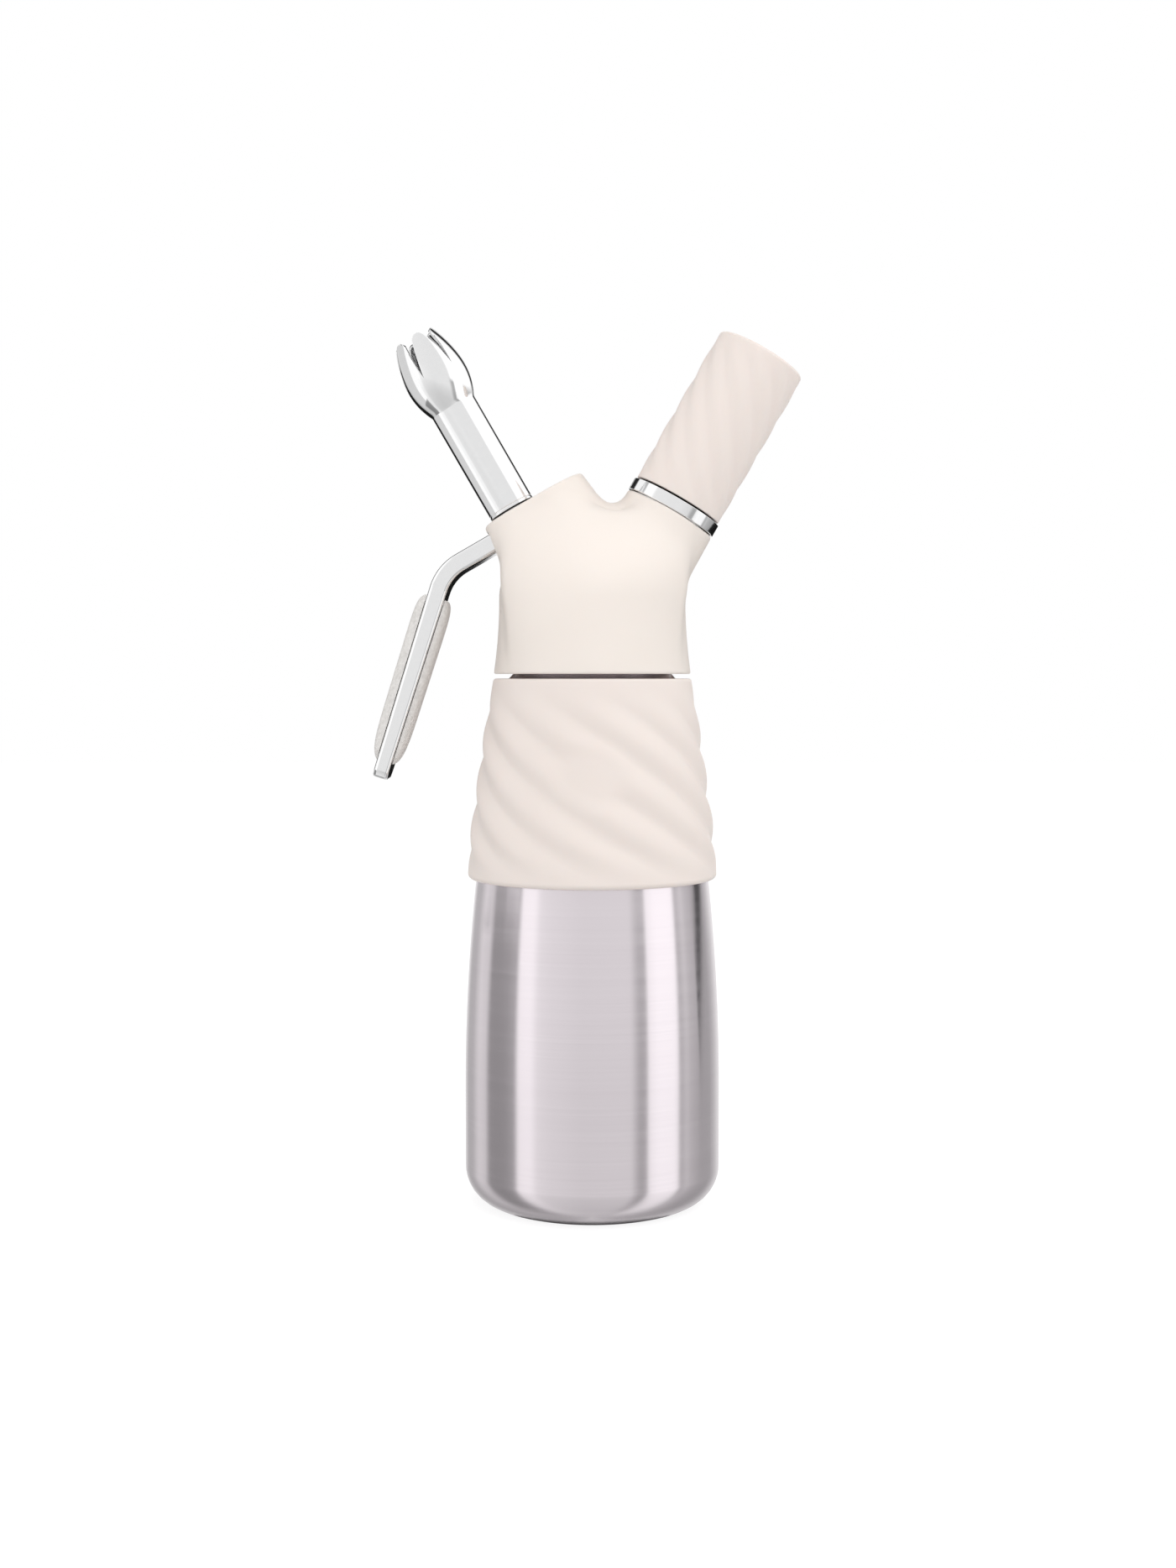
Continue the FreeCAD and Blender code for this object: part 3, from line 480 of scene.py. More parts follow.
def ease(value):
    """Smooth step from 0 to 1."""
    value = np.clip(value, 0, 1)
    return value * value * (3 - 2 * value)


def rib_wave(angles, height, lead, crest, depth):
    """Twisted ribs: broad round lobes with narrower valleys, about the mean radius."""
    phase = rib_count * (angles + math.pi / 2 + math.tau * (height - crest) / lead)
    round_lobes = 0.5 + 0.5 * np.cos(phase)
    sharp_lobes = np.abs(np.cos(phase / 2))
    return depth * (round_lobes * (1 - rib_sharpness) + sharp_lobes * rib_sharpness - 0.5)


def sleeve_radius(height):
    """Mean radius of the sleeve's outside at a height."""
    return wall_radius(height) + sleeve_thickness + (height - sleeve_low) * sleeve_flare


shoulder_radius = wall_radius(shoulder_height)
shoulder_slope = (shoulder_radius - neck_radius) / (neck_height - shoulder_height)
inner_rim = shoulder_radius - (sleeve_high - shoulder_height) * shoulder_slope
side_heights = np.arange(sleeve_low + sleeve_edge + 0.5, sleeve_high - sleeve_edge, sleeve_row)
sleeve_outline = rounded([
    (wall_radius(sleeve_low) + wall_gap, sleeve_low),
    (sleeve_radius(sleeve_low), sleeve_low, sleeve_edge),
    *[(sleeve_radius(height), height) for height in side_heights],
    (sleeve_radius(sleeve_high), sleeve_high, 1.0),
    (inner_rim + shoulder_gap, sleeve_high, 0.2),
    (shoulder_radius + shoulder_gap, shoulder_height),
    *[(wall_radius(height) + wall_gap, height) for height in range(156, 100, -8)],
])


def sleeve_shift(angles, row):
    """How far the ribs move a row of the sleeve. The inside and the plain pad stay in place."""
    radius, height = sleeve_outline[row]
    half = sleeve_thickness * 0.5
    outer = ease((radius - wall_radius(height) - half) / half)
    fade = ease((height - sleeve_low) / low_fade) * ease((sleeve_high - height) / high_fade)
    at_back = 9 * (np.sin(angles) > 0)
    from_pad = np.hypot(radius * np.cos(angles) / plain_half_width,
                        (height - plain_height) / plain_half_height) + at_back
    plain = ease((from_pad - 0.5) / 0.9)
    ribs = rib_wave(angles, height, sleeve_rib_lead, sleeve_crest, sleeve_rib_depth)
    return outer * fade * plain * ribs


points, faces = turned_grid(sleeve_outline, 480, True, sleeve_shift)
sleeve = tidy(new_piece("ribbed_sleeve", points, faces, silicone), 50)
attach(sleeve, "bottle")
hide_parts("grip_sleeve")

# Head: one matte cream moulding, a skirt with two arms that flow out of it. It screws onto the
# bottle by a steel ring in its mouth and seals on a flat gasket. A slot in the outlet arm takes
# the lever, which turns on a pin through the arm.
skirt_low = 162.3
skirt_radius = 30.0
skirt_edge = 0.6
waist_height = 185.0
waist_radius = 28.3
dome_height = 205.0
dome_round = 20.0
arm_origin = 170.0
arm_angle = math.radians(30)
arm_root_round = 2
outlet_root = 15
outlet_face = 47.6
outlet_edge = 0.9
outlet_outer = 9.9
outlet_inner = 23.6
outlet_half_depth = 14.5
outlet_flare = 0.12
outlet_corner_outer = 9.0
outlet_corner_inner = 13.0
charger_root = 8
charger_face = 47.1
charger_edge = 0.6
charger_arm_radius = 14.5
charger_taper = 0.02
arm_blend = 6.0
side_blend = 3.5
front_blend = 16.0
soft_start = 4.5        # how far from the middle plane the front's soft blend sets in
soft_skew = 1.5         # nearer on the charger's side and farther on the outlet's
soft_skew_width = 15
soft_over = 12
middle_softness = 0.45
middle_half_width = 16
middle_over = 10
pin_distance = 13.3
pin_level = 41.4
pin_bore = 1.52
pin_bore_end = -11
slot_half_width = 8.0
slot_inner = 16.7
slot_top = 45.5
slot_floor = 37.4
slot_floor_slope = math.radians(12.4)
slot_edge = 0.5
mouth_edge = 0.25
mouth_steps = ((28.2, 163.6), (26.27, 177.1), (24.52, 180.6))     # each step's radius and top
mouth_radius = 21.1
mouth_cone = 201.7      # radius and height add up to this on the mouth's cone
mouth_ceiling = 184.1
outlet_bores = (        # each bore's radius, start and stop along its arm
    (7.5, -np.inf, 14.8), (5.82, -np.inf, 41.4), (5.7, 41.0, np.inf), (6.54, 46.7, np.inf))
charger_bores = ((11.02, 30, np.inf), (5.1, 24, 31), (1.6, 5, 31))
shell_dark = (0.87, 0.80, 0.745, 1)
shell_light = (0.885, 0.815, 0.76, 1)
head_low = (-42, -33, 160)
head_high = (43, 33, 227)
head_cell = 0.6
outlet_place = Matrix.Translation((0, 0, arm_origin)) @ Matrix.Rotation(-arm_angle, 4, "Y")
charger_place = Matrix.Translation((0, 0, arm_origin)) @ Matrix.Rotation(arm_angle, 4, "Y")


def merge(first, second, blend):
    """Depth in two forms joined with a soft blend."""
    near = np.maximum(blend - np.abs(first - second), 0) / blend
    return np.minimum(first, second) - near * near * blend / 4


def trim(first, second, edge):
    """Depth in what two forms share, with its edges rounded."""
    outside = np.hypot(np.maximum(first + edge, 0), np.maximum(second + edge, 0))
    return np.minimum(np.maximum(first, second), -edge) + outside


def outlet_block(across, along, y):
    """Depth in the outlet arm: a flared block with rounded corners, cut square at its face."""
    growth = (outlet_face - along) * outlet_flare
    middle = (outlet_inner - outlet_outer) / 2
    corner = np.where(across < middle, outlet_corner_outer, outlet_corner_inner)
    wide = np.abs(across - middle) - (outlet_inner + outlet_outer) / 2 - growth + corner
    deep = np.abs(y) - outlet_half_depth - growth + corner
    beyond = np.hypot(np.maximum(wide, 0), np.maximum(deep, 0))
    block = np.minimum(np.maximum(wide, deep), 0) + beyond - corner
    return trim(trim(block, along - outlet_face, outlet_edge), outlet_root - along, arm_root_round)


def head_depth(x, y, z):
    """Depth below the head's surface, negative inside it."""
    lean, lift = math.cos(arm_angle), math.sin(arm_angle)
    spread = np.hypot(x, y)
    rise = z - arm_origin
    narrow = np.clip((z - skirt_low) / (waist_height - skirt_low), 0, 1)
    side = spread - skirt_radius + (skirt_radius - waist_radius) * narrow * (2 - narrow)
    trunk = trim(side, z - dome_height, dome_round)
    across = x * lean + rise * lift
    along = rise * lean - x * lift
    outlet = outlet_block(across, along, y)
    charger_across = x * lean - rise * lift
    charger_along = rise * lean + x * lift
    from_charger = np.hypot(charger_across, y)
    cone = from_charger - charger_arm_radius - (charger_face - charger_along) * charger_taper
    charger = trim(trim(cone, charger_along - charger_face, charger_edge),
                   charger_root - charger_along, arm_root_round)
    onset = soft_start - soft_skew * np.clip(x / soft_skew_width, -1, 1)
    softness = np.maximum(ease((np.abs(y) - onset) / soft_over),
                          middle_softness * ease((middle_half_width - np.abs(x)) / middle_over))
    blend = side_blend + (front_blend - side_blend) * softness
    form = merge(merge(outlet, charger, arm_blend * (1 + softness)), trunk, blend)
    form = trim(form, skirt_low - z, skirt_edge)
    above_floor = slot_floor - (slot_inner - across) * math.tan(slot_floor_slope) - along
    slot = np.maximum.reduce([np.abs(y) - slot_half_width, across - slot_inner, along - slot_top,
                              above_floor])
    form = trim(form, -slot, slot_edge)
    hollow = np.maximum.reduce([spread - mouth_radius, spread + z - mouth_cone, z - mouth_ceiling])
    for radius, top in mouth_steps:
        hollow = np.minimum(hollow, np.maximum(spread - radius, z - top))
    for from_axis, reach, bores in ((np.hypot(across, y), along, outlet_bores),
                                    (from_charger, charger_along, charger_bores)):
        for radius, start, stop in bores:
            ends = np.maximum(start - reach, reach - stop)
            hollow = np.minimum(hollow, np.maximum(from_axis - radius, ends))
    from_pin = np.hypot(across - pin_distance, along - pin_level)
    hollow = np.minimum(hollow, np.maximum(from_pin - pin_bore, pin_bore_end - y))
    return trim(form, -hollow, mouth_edge)


def cast(name, depth, low, high, cell, material):
    """Piece whose skin lies where depth is 0. A net of squares is drawn over it and pulled on."""
    grid = np.meshgrid(*[np.arange(start, stop, cell) for start, stop in zip(low, high)],
                       indexing="ij")
    inside = depth(*grid) < 0
    wide, deep, tall = (size - 1 for size in inside.shape)
    count = sum(inside[i:i + wide, j:j + deep, k:k + tall].astype(int)
                for i in (0, 1) for j in (0, 1) for k in (0, 1))
    cells = np.argwhere((count > 0) & (count < 8))
    index = np.full(count.shape, -1)
    index[tuple(cells.T)] = np.arange(len(cells))
    quads = []
    for axis in range(3):
        edges = np.argwhere(np.diff(inside.astype(np.int8), axis=axis))
        others = [other for other in range(3) if other != axis]
        limits = np.array(count.shape)[others]
        edges = edges[(edges[:, others] > 0).all(1) & (edges[:, others] < limits).all(1)]
        first, second = np.eye(3, dtype=int)[others]
        quads.append(np.stack([index[tuple((edges - step).T)]
                               for step in (first * 0, first, first + second, second)], 1))
    quads = np.concatenate(quads)
    quads = quads[(quads >= 0).all(1)]
    points = np.array(low) + (cells + 0.5) * cell
    links = np.concatenate([quads[:, [0, 1]], quads[:, [1, 2]], quads[:, [2, 3]],
                            quads[:, [3, 0]]])
    links = np.concatenate([links, links[:, ::-1]])
    weight = np.bincount(links[:, 0], minlength=len(points))[:, None]

    def slope(spots):
        """Direction in which depth grows at each spot."""
        step = 0.02
        return np.stack([(depth(*(spots + offset).T) - depth(*(spots - offset).T)) / (2 * step)
                         for offset in np.eye(3) * step], 1)

    def settle(spots, rounds):
        """Moves spots along the slope, by a cell a round at most, until their depth is 0."""
        flattest = 0.25
        for _ in range(rounds):
            away = slope(spots)
            away /= np.maximum((away ** 2).sum(1), flattest)[:, None]
            spots = spots - np.clip(depth(*spots.T)[:, None] * away, -cell, cell)
        return spots

    points = settle(points, 4)
    for _ in range(3):
        total = np.stack([np.bincount(links[:, 0], points[links[:, 1], axis], len(points))
                          for axis in range(3)], 1)
        points = settle(0.5 * points + 0.5 * total / np.maximum(weight, 1), 2)
    piece = new_piece(name, points, quads.tolist(), material)
    work = bmesh.new()
    work.from_mesh(piece.data)
    bmesh.ops.recalc_face_normals(work, faces=work.faces)
    work.to_mesh(piece.data)
    work.free()
    piece.data.shade_smooth()
    normals = slope(points)
    normals /= np.maximum(np.linalg.norm(normals, axis=1), 1e-6)[:, None]
    piece.data.normals_split_custom_set_from_vertices(normals.tolist())
    return piece


shell, sheet = new_material("cream_shell")
spot = sheet.node("TexCoord", output="Object")
grain = noise(spot, 3400.0, 1.0)
clouds = noise(spot, 28.0, 2.0)
sheet.surface("BsdfPrincipled", {
    "Base Color": clouds.mix(shell_dark, shell_light),
    "Roughness": grain * 0.05 + 0.42, "Specular IOR Level": 0.45, "Subsurface Weight": 0.05,
    "Subsurface Radius": (0.003, 0.002, 0.0015), "Subsurface Scale": 1.0,
    "Normal": relief(grain, 0.06, 0.00003)})

head = cast("head_moulding", head_depth, head_low, head_high, head_cell, shell)
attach(head, "head")
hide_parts("head_body")

# Polished steel of the lever, the tip and the charger holder. Painted shade colours it black at
# the tip's lower rim and in the groove above the holder's collar, where those gaps fall dark.
tip_low = 48.5
collar_high = 51.8
polished_dark = (0.88, 0.88, 0.885, 1)
polished_light = (0.93, 0.93, 0.93, 1)
# The black of the painted shade in those gaps, and the rings in which it is painted.
painted_shade_black = (0.02, 0.02, 0.02, 1)
painted_shade_rings = (         # each ring's arm, its start and stop along it, and its two radii
    (-1, tip_low - 0.1, tip_low + 0.3, 6.6, 7.6),
    (1, collar_high - 0.7, collar_high + 0.2, 12.0, 13.4),
)

polished, sheet = new_material("polished_steel")
spot = sheet.node("TexCoord", output="Object")
scuffs = noise(spot, 900.0, 4.0)
right, depth, height = (sheet.node("SeparateXYZ", sockets={0: spot}, output=axis) * 1000
                        for axis in "XYZ")
rise = height - arm_origin
painted_shade_mask = 0.0
# Mask of the painted shade: 1 inside a ring, 0 elsewhere.
for arm, low, high, inner, outer in painted_shade_rings:
    along = rise * math.cos(arm_angle) + right * (arm * math.sin(arm_angle))
    across = right * math.cos(arm_angle) - rise * (arm * math.sin(arm_angle))
    from_axis = sheet.math("SQRT", across * across + depth * depth)
    painted_shade_mask += (sheet.math("GREATER_THAN", along, low) * sheet.math("LESS_THAN", along, high)
                  * sheet.math("GREATER_THAN", from_axis, inner)
                  * sheet.math("LESS_THAN", from_axis, outer))
# Base colour: the scuffed steel, painted black inside the rings as painted shade.
sheet.surface("BsdfPrincipled", {
    "Base Color": painted_shade_mask.mix(scuffs.mix(polished_dark, polished_light), painted_shade_black),
    "Metallic": 1.0, "Roughness": scuffs * 0.05 + 0.07, "Normal": relief(scuffs, 0.02, 0.00002)})

# Lever: a flat steel bar bent toward the bottle, with softened edges and a bevelled end. Inside
# the head it forks round the valve stem and turns on a cross pin.
lever_width = 15.0
lever_thickness = 5.8
lever_tip_thickness = 4.8
lever_level = 42.3
lever_arm = 40.4
lever_reach = 65.4
lever_slope = math.radians(17.7)
inner_bend = 12.0
outer_bend = 17.0
fork_root = -6.0
fork_overlap = 0.5
fork_half = 2.0
prong_spans = ((-7.5, -3.6), (3.6, 7.5))
eye_radius = 2.9
nose_radius = 2.2
nose_drop = 1.1
# Cuts of the bar's long edges, as (across, deep) from the edge.
lever_corner = [(1.10, 0.0), (1.02, 0.025), (0.50, 0.31), (0.40, 0.42), (0.28, 0.65), (0.17, 1.0),
                (0.08, 1.5), (0.02, 2.1), (0.0, 2.6)]
# Rows of the bevelled end: how far back each lies, and how much narrower and thinner it is there.
end_bevel = [(2.25, 0.0, 0.0), (2.15, 0.03, 0.0), (1.95, 0.13, 0.0), (1.85, 0.19, 0.0),
             (0.7, 0.95, 0.0), (0.55, 1.12, 0.03), (0.2, 1.8, 0.14), (0.0, 2.5, 0.4)]


def outlet_point(along, out):
    """Point of the outlet arm's plane in the dispenser's (x, z)."""
    return Vector((along * math.cos(arm_angle) - out * math.sin(arm_angle),
                   arm_origin + along * math.sin(arm_angle) + out * math.cos(arm_angle)))


bend = outlet_point(pin_distance - lever_arm, lever_level)
down = Vector((-math.sin(lever_slope), -math.cos(lever_slope)))
inward = Vector((math.cos(lever_slope), -math.sin(lever_slope)))
lever_end = bend + down * lever_reach


def lever_rail(side, bend_round):
    """One face of the lever, seen from its side: from its root, round the bend, to its end."""
    bend_steps, root_steps, end_steps = 16, 6, 24
    root = outlet_point(fork_root, lever_level - side * lever_thickness / 2)
    low = lever_end + inward * side * lever_tip_thickness / 2
    upper = outlet_point(0, lever_level - side * lever_thickness / 2)
    slope_in = (low - bend - inward * side * lever_thickness / 2)
    start = bend + inward * side * lever_thickness / 2
    along = (root - upper).normalized()
    cross = along.x * slope_in.y - along.y * slope_in.x
    step = ((start.x - upper.x) * slope_in.y - (start.y - upper.y) * slope_in.x) / cross
    corner = upper + along * step
    arc = rounded([tuple(root), (*corner, bend_round), tuple(low)], bend_steps)
    first = [root.lerp(Vector(arc[1]), share / root_steps) for share in range(root_steps)]
    last = [Vector(arc[-2]).lerp(low, share / end_steps) for share in range(1, end_steps + 1)]
    return first + [Vector(spot) for spot in arc[1:-1]] + last


def bar(rail_in, rail_out, half_widths, corner):
    """Points and faces of a bar between two rails, with the corner's cuts on its long edges."""
    points, faces = [], []
    for inner, outer, half in zip(rail_in, rail_out, half_widths):
        middle = (inner + outer) / 2
        rise = (outer - inner) / 2
        for up, out, cuts in ((1, 1, corner), (1, -1, corner[::-1]),
                              (-1, -1, corner), (-1, 1, corner[::-1])):
            for across, deep in cuts:
                spot = middle + rise.normalized() * up * (rise.length - across)
                points.append((spot.x, out * (half - deep), spot.y))
    size = 4 * len(corner)
    rows = len(half_widths)
    for row in range(rows - 1):
        low, high = row * size, (row + 1) * size
        for side in range(size):
            after = (side + 1) % size
            faces.append((low + side, low + after, high + after, high + side))
    faces.append(tuple(range(size)))
    faces.append(tuple((rows - 1) * size + side for side in reversed(range(size))))
    return points, faces


def prong(points, low, high):
    """Points and faces of a flat plate between two depths."""
    count = len(points)
    corners = [(point[0], depth, point[1]) for depth in (low, high) for point in points]
    sides = [(index, (index + 1) % count, count + (index + 1) % count, count + index)
             for index in range(count)]
    return corners, sides + [tuple(range(count)), tuple(range(2 * count - 1, count - 1, -1))]


rail_in = lever_rail(1, inner_bend)
rail_out = lever_rail(-1, outer_bend)
straight_in, straight_out = rail_in.pop(), rail_out.pop()
half_widths = [lever_width / 2] * len(rail_in)
end_middle = (straight_in + straight_out) / 2
end_across = (straight_out - straight_in) / 2
for back, pinch_deep, pinch_across in end_bevel:
    centre = end_middle - down * back
    across = end_across.normalized() * (end_across.length - pinch_across)
    rail_in.append(centre - across)
    rail_out.append(centre + across)
    half_widths.append(lever_width / 2 - pinch_deep)
points, faces = bar(rail_in, rail_out, half_widths, lever_corner)
lever = new_piece("bent_lever", points, faces, polished)
eye = [outlet_point(pin_distance + eye_radius * math.sin(turn),
                    pin_level + eye_radius * math.cos(turn))
       for turn in np.linspace(0.3, math.pi - 0.3, 13)]
nose = [outlet_point(nose_radius * math.cos(turn),
                     pin_level - nose_drop + nose_radius * math.sin(turn))
        for turn in np.linspace(-0.45, -math.pi + 0.45, 9)]
fork_outline = [outlet_point(fork_root - fork_overlap, pin_level + fork_half), *eye, *nose,
                outlet_point(fork_root - fork_overlap, pin_level - fork_half)]
for low, high in prong_spans:
    add_mesh(lever, *prong(fork_outline, low, high))
tidy(lever, 30)
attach(lever, "lever")
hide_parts("lever")

# Lever grip: cream silicone moulded through a window in the lever, with a crowned pad on each
# face. Its skin is mottled and a little coarser than the sleeve's.
pad_low = 5.1
pad_length = 52.2
pad_width = 13.0
pad_outer = 2.9
pad_inner = 2.4
pad_gap = 0.02
pad_narrowing = 0.25    # share of its width that a pad loses over the last tenth of each half
pad_upper_end = (9, 0.45)
pad_lower_end = (6, 0.6)
pad_crown = (5, 0.5)
pad_dark = (0.66, 0.64, 0.62, 1)
pad_light = (0.86, 0.84, 0.82, 1)
pad_contrast = 2.2

pad_silicone, sheet = new_material("pad_silicone")
spot = sheet.node("TexCoord", output="Object")
mottle = noise(spot, 900.0, 3.0, 0.7)
sheet.surface("BsdfPrincipled", {
    "Base Color": ((mottle - 0.5) * pad_contrast + 0.5).mix(pad_dark, pad_light),
    "Roughness": mottle * 0.1 + 0.5, "Specular IOR Level": 0.35,
    "Normal": relief(mottle, 0.35, 0.0002)})


def swell(share, power, root):
    """Height of a rounded form, from 1 in its middle to 0 at its edges."""
    return (1 - abs(share) ** power) ** root


def pad(side, depth):
    """Points and faces of one pad, flat against the lever and rounded at its ends and edges."""
    lengths, widths = 48, 16
    row_size = widths + 1
    points, faces = [], []
    for row in range(lengths + 1):
        run = math.cos(math.pi * row / lengths)
        reach = lever_reach - pad_low - pad_length / 2 + run * pad_length / 2
        share = reach / lever_reach
        half = (lever_thickness * (1 - share) + lever_tip_thickness * share) / 2
        taper = swell(run, *(pad_upper_end if run < 0 else pad_lower_end))
        narrow = 1 - pad_narrowing * max(0.0, abs(run) - 0.9) / 0.1
        for column in range(row_size):
            turn = math.cos(math.pi * column / widths)
            rise = depth * taper * swell(turn, *pad_crown)
            spot = bend + down * reach + inward * side * (half + pad_gap + rise)
            points.append((spot.x, turn * pad_width / 2 * narrow, spot.y))
    for row in range(lengths):
        for column in range(widths):
            first = row * row_size + column
            faces.append((first, first + 1, first + row_size + 1, first + row_size))
    rim = ([(0, column) for column in range(widths)]
           + [(row, widths) for row in range(lengths)]
           + [(lengths, column) for column in range(widths, 0, -1)]
           + [(row, 0) for row in range(lengths, 0, -1)])
    faces.append(tuple(row * row_size + column for row, column in rim))
    return points, faces


lever_grip = new_piece("lever_pads", *pad(-1, pad_outer), pad_silicone)
add_mesh(lever_grip, *pad(1, pad_inner))
tidy(lever_grip, 60)
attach(lever_grip, "lever")
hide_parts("lever_grip")

# Decorator tip: a polished steel tube that opens into a tulip of six petals, parted by slots. It
# screws onto the outlet nipple. A core inside it fills the wall that the nipple's bore leaves.
tip_tube_radius = 7.25
tip_neck = 84.0
tip_high = 107.85
tip_wall = 1.1
tip_edge = 0.00028      # metres
petals = 6
petal_turn = math.radians(-90 + 10)
petal_columns = 16
petal_steps = 20
petal_round = 1.5
petal_round_share = 0.97
slot_low = 10.7
slot_half = 1.75
core_outer = 6.3
core_inner = 5.0
core_thread = 5.45
core_step = 60.3
# The tulip's side, as (height above the tube, radius).
tulip = np.array([(0, 7.25), (2.2, 8.25), (6.3, 9.4), (9.5, 9.72), (13.7, 9.45), (17.8, 8.55),
                  (21, 7.6), (24, 6.35)])
tulip_curve = np.polyfit(tulip[:, 0], tulip[:, 1], 5)
# Rows of the tube's foot: height above its end, and how far each lies outside the tube's radius.
foot_rows = ((0.0, -0.35), (0.35, 0.0), (0.9, 0.0), (1.0, -0.12), (1.2, -0.12), (1.3, 0.0))

tube_rows = [(tip_low + rise, tip_tube_radius + out) for rise, out in foot_rows]
tube_rows += [(height, tip_tube_radius)
              for height in np.linspace(tip_low + 2.2, tip_neck - 0.4, 16)]
tube_rows += [(tip_neck + rise, np.polyval(tulip_curve, rise))
              for rise in np.linspace(0, slot_low, 14)]
petal_height = tip_high - tip_neck
points, faces = [], []
for petal in range(petals):
    middle = petal_turn + math.tau / petals * petal
    for column in range(petal_columns + 1):
        share = 2 * column / petal_columns - 1
        angle = petal_turn + math.tau / petals * (petal + share / 2)
        for height, radius in tube_rows:
            points.append((radius * math.cos(angle), radius * math.sin(angle), height))
        top = petal_height - petal_round * (1 - math.sqrt(1 - (petal_round_share * share) ** 2))
        for step in range(1, petal_steps + 1):
            rise = slot_low + (top - slot_low) * step / petal_steps
            radius = np.polyval(tulip_curve, rise)
            gap = math.asin(slot_half * (rise - slot_low) / (petal_height - slot_low) / radius)
            angle = middle + share * (math.pi / petals - gap)
            points.append((radius * math.cos(angle), radius * math.sin(angle), tip_neck + rise))
strip = len(tube_rows) + petal_steps
for petal in range(petals):
    for column in range(petal_columns):
        first = (petal * (petal_columns + 1) + column) * strip
        for row in range(first, first + strip - 1):
            faces.append((row, row + strip, row + strip + 1, row + 1))
tip = tidy(new_piece("tulip_tip", points, faces, polished, outlet_place), 40)
thicken = tip.modifiers.new("wall", "SOLIDIFY")
thicken.thickness = tip_wall / 1000
thicken.offset = -1
soften = tip.modifiers.new("edges", "BEVEL")
soften.width = tip_edge
soften.segments = 3
soften.angle_limit = math.radians(50)
core, core_faces = turned_grid([
    (core_thread, tip_low + 0.4), (core_outer, tip_low + 0.4), (core_outer, tip_neck + 0.2),
    (core_inner, tip_neck + 0.2), (core_inner, core_step), (core_thread, core_step)], 64, True)
tip_core = tidy(new_piece("tip_core", core, core_faces, polished, outlet_place))
for piece in (tip, tip_core):
    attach(piece, "tip")
    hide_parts("decorator_tip")

# Charger holder: a turned steel cup with a polished collar and a groove above it. Its bore takes
# the gas charger, and the thread in its mouth screws onto the charger nipple.
collar_radius = 14.6
collar_low = 47.4
groove_depth = 0.65
holder_radius = 12.3
holder_high = 100.5
holder_mouth = 13.0
mouth_high = 48.3
thread_bore = 11.05
thread_bore_high = 57.3
charger_bore = 9.3
charger_bore_low = 58.3
charger_bore_high = 98.7
holder = lathe("holder_collar", [
    (holder_mouth, collar_low), (collar_radius, collar_low, 0.3),
    (collar_radius, collar_high - groove_depth, 0.12),
    (holder_radius + 0.3, collar_high - groove_depth), (holder_radius, collar_high + 0.1),
    (holder_radius, holder_high), (0.0, holder_high),
], polished, charger_place)
holder_inside = lathe("holder_bore", [
    (holder_mouth, collar_low), (holder_mouth, mouth_high), (thread_bore, mouth_high),
    (thread_bore, thread_bore_high), (charger_bore, charger_bore_low),
    (charger_bore, charger_bore_high), (0.0, charger_bore_high),
], polished, charger_place)
for piece in (holder, holder_inside):
    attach(piece, "holder")
    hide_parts("charger_holder")

# Holder grip: cream silicone moulded over the holder's cup, with the sleeve's twisted ribs on a
# smaller scale. The ribs fade out at both ends and over the closed top.
grip_radius = 14.1
grip_low = 51.82
grip_high = 102.3
grip_row = 0.7
grip_fade = 9
grip_rib_depth = 0.5
grip_rib_lead = 119.0
grip_crest = 75.0
grip_outline = rounded([
    (holder_radius + 0.02, grip_low), (grip_radius, grip_low, 0.25),
    *[(grip_radius, height) for height in np.arange(grip_low + 1.2, grip_high - 1.7, grip_row)],
    (grip_radius, grip_high, 1.1), (0.0, grip_high),
])


def grip_shift(angles, row):
    """How far the ribs move a row of the holder's grip."""
    radius, height = grip_outline[row]
    outer = ease((radius - holder_radius) / (grip_radius - holder_radius))
    fade = ease((height - grip_low) / grip_fade) * ease((grip_high - height) / grip_fade) * outer
    return fade * rib_wave(angles, height, grip_rib_lead, grip_crest, grip_rib_depth)


points, faces = turned_grid(grip_outline, 320, False, grip_shift)
holder_grip = tidy(new_piece("ribbed_holder_grip", points, faces, silicone, charger_place), 50)
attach(holder_grip, "holder")
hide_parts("holder_grip")


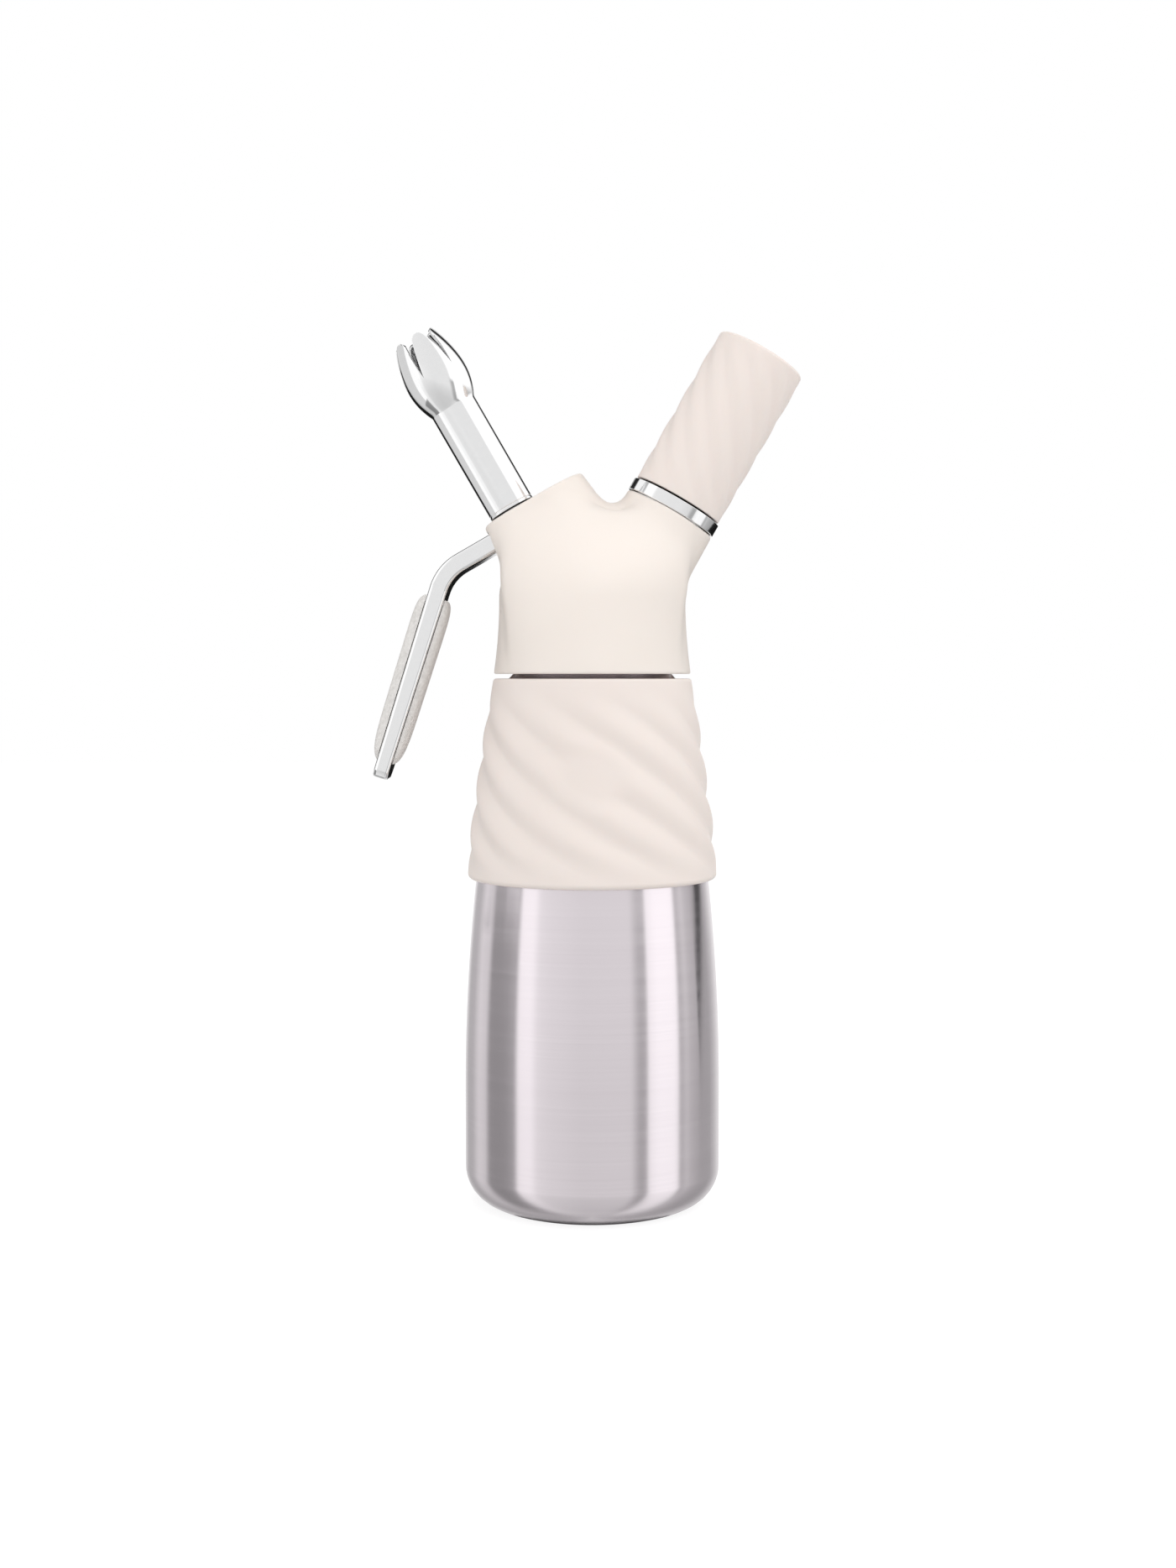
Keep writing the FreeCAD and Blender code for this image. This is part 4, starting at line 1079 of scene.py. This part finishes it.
# Valve, nipples, thread ring and pins: turned stainless steel, bright and finely ringed. They are
# shown as drawn. The guide holds the stem, and the nipples are screwed into the head's arms.
turned_dark = (0.66, 0.65, 0.64, 1)
turned_light = (0.76, 0.75, 0.74, 1)


def paint(material, *nodes):
    """Puts a material on CAD nodes that are shown as they are."""
    for node in nodes:
        cad[node].material_slots[0].material = material


turned_steel, sheet = new_material("turned_steel")
rings = noise(sheet.node("TexCoord", output="Object"), 1500.0, 3.0)
sheet.surface("BsdfPrincipled", {
    "Base Color": rings.mix(turned_dark, turned_light), "Metallic": 1.0,
    "Roughness": rings * 0.12 + 0.18})
paint(turned_steel, "thread_ring", "valve_guide", "valve_stem", "spring_cup", "cup_clip",
      "valve_spring", "lever_pin", "outlet_nipple", "charger_nipple", "piercing_pin")

# Seals: soft red-brown rubber, moulded. The gasket lies in the head's mouth, the rings sit in
# grooves of the stem and nipples, and the washer, sleeve and charger seal hold the gas in.
rubber_dark = (0.56, 0.14, 0.09, 1)
rubber_light = (0.66, 0.18, 0.11, 1)
rubber, sheet = new_material("seal_rubber")
dust = noise(sheet.node("TexCoord", output="Object"), 1100.0, 2.0)
sheet.surface("BsdfPrincipled", {
    "Base Color": dust.mix(rubber_dark, rubber_light), "Roughness": dust * 0.1 + 0.5})
paint(rubber, "head_gasket", "valve_washer", "stem_ring_lower", "stem_ring_upper", "nipple_ring",
      "tip_ring", "check_sleeve", "charger_seal")

# Gas charger: a drawn steel flask with a pressed cap, zinc plated. It lies loose in the holder
# until the piercing pin opens its cap.
zinc_dark = (0.55, 0.56, 0.57, 1)
zinc_light = (0.68, 0.69, 0.70, 1)
zinc, sheet = new_material("charger_steel")
mottle = noise(sheet.node("TexCoord", output="Object"), 320.0, 4.0)
sheet.surface("BsdfPrincipled", {
    "Base Color": mottle.mix(zinc_dark, zinc_light), "Metallic": 1.0,
    "Roughness": mottle * 0.15 + 0.24})
paint(zinc, "gas_charger", "charger_cap")

# Valve spring: coiled steel wire between the guide and the spring cup. In the whipper it is
# held at its lower end and shortens as the lever pushes the stem in. Here it gets its own mesh.
spring = cad["valve_spring"]
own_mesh(spring)
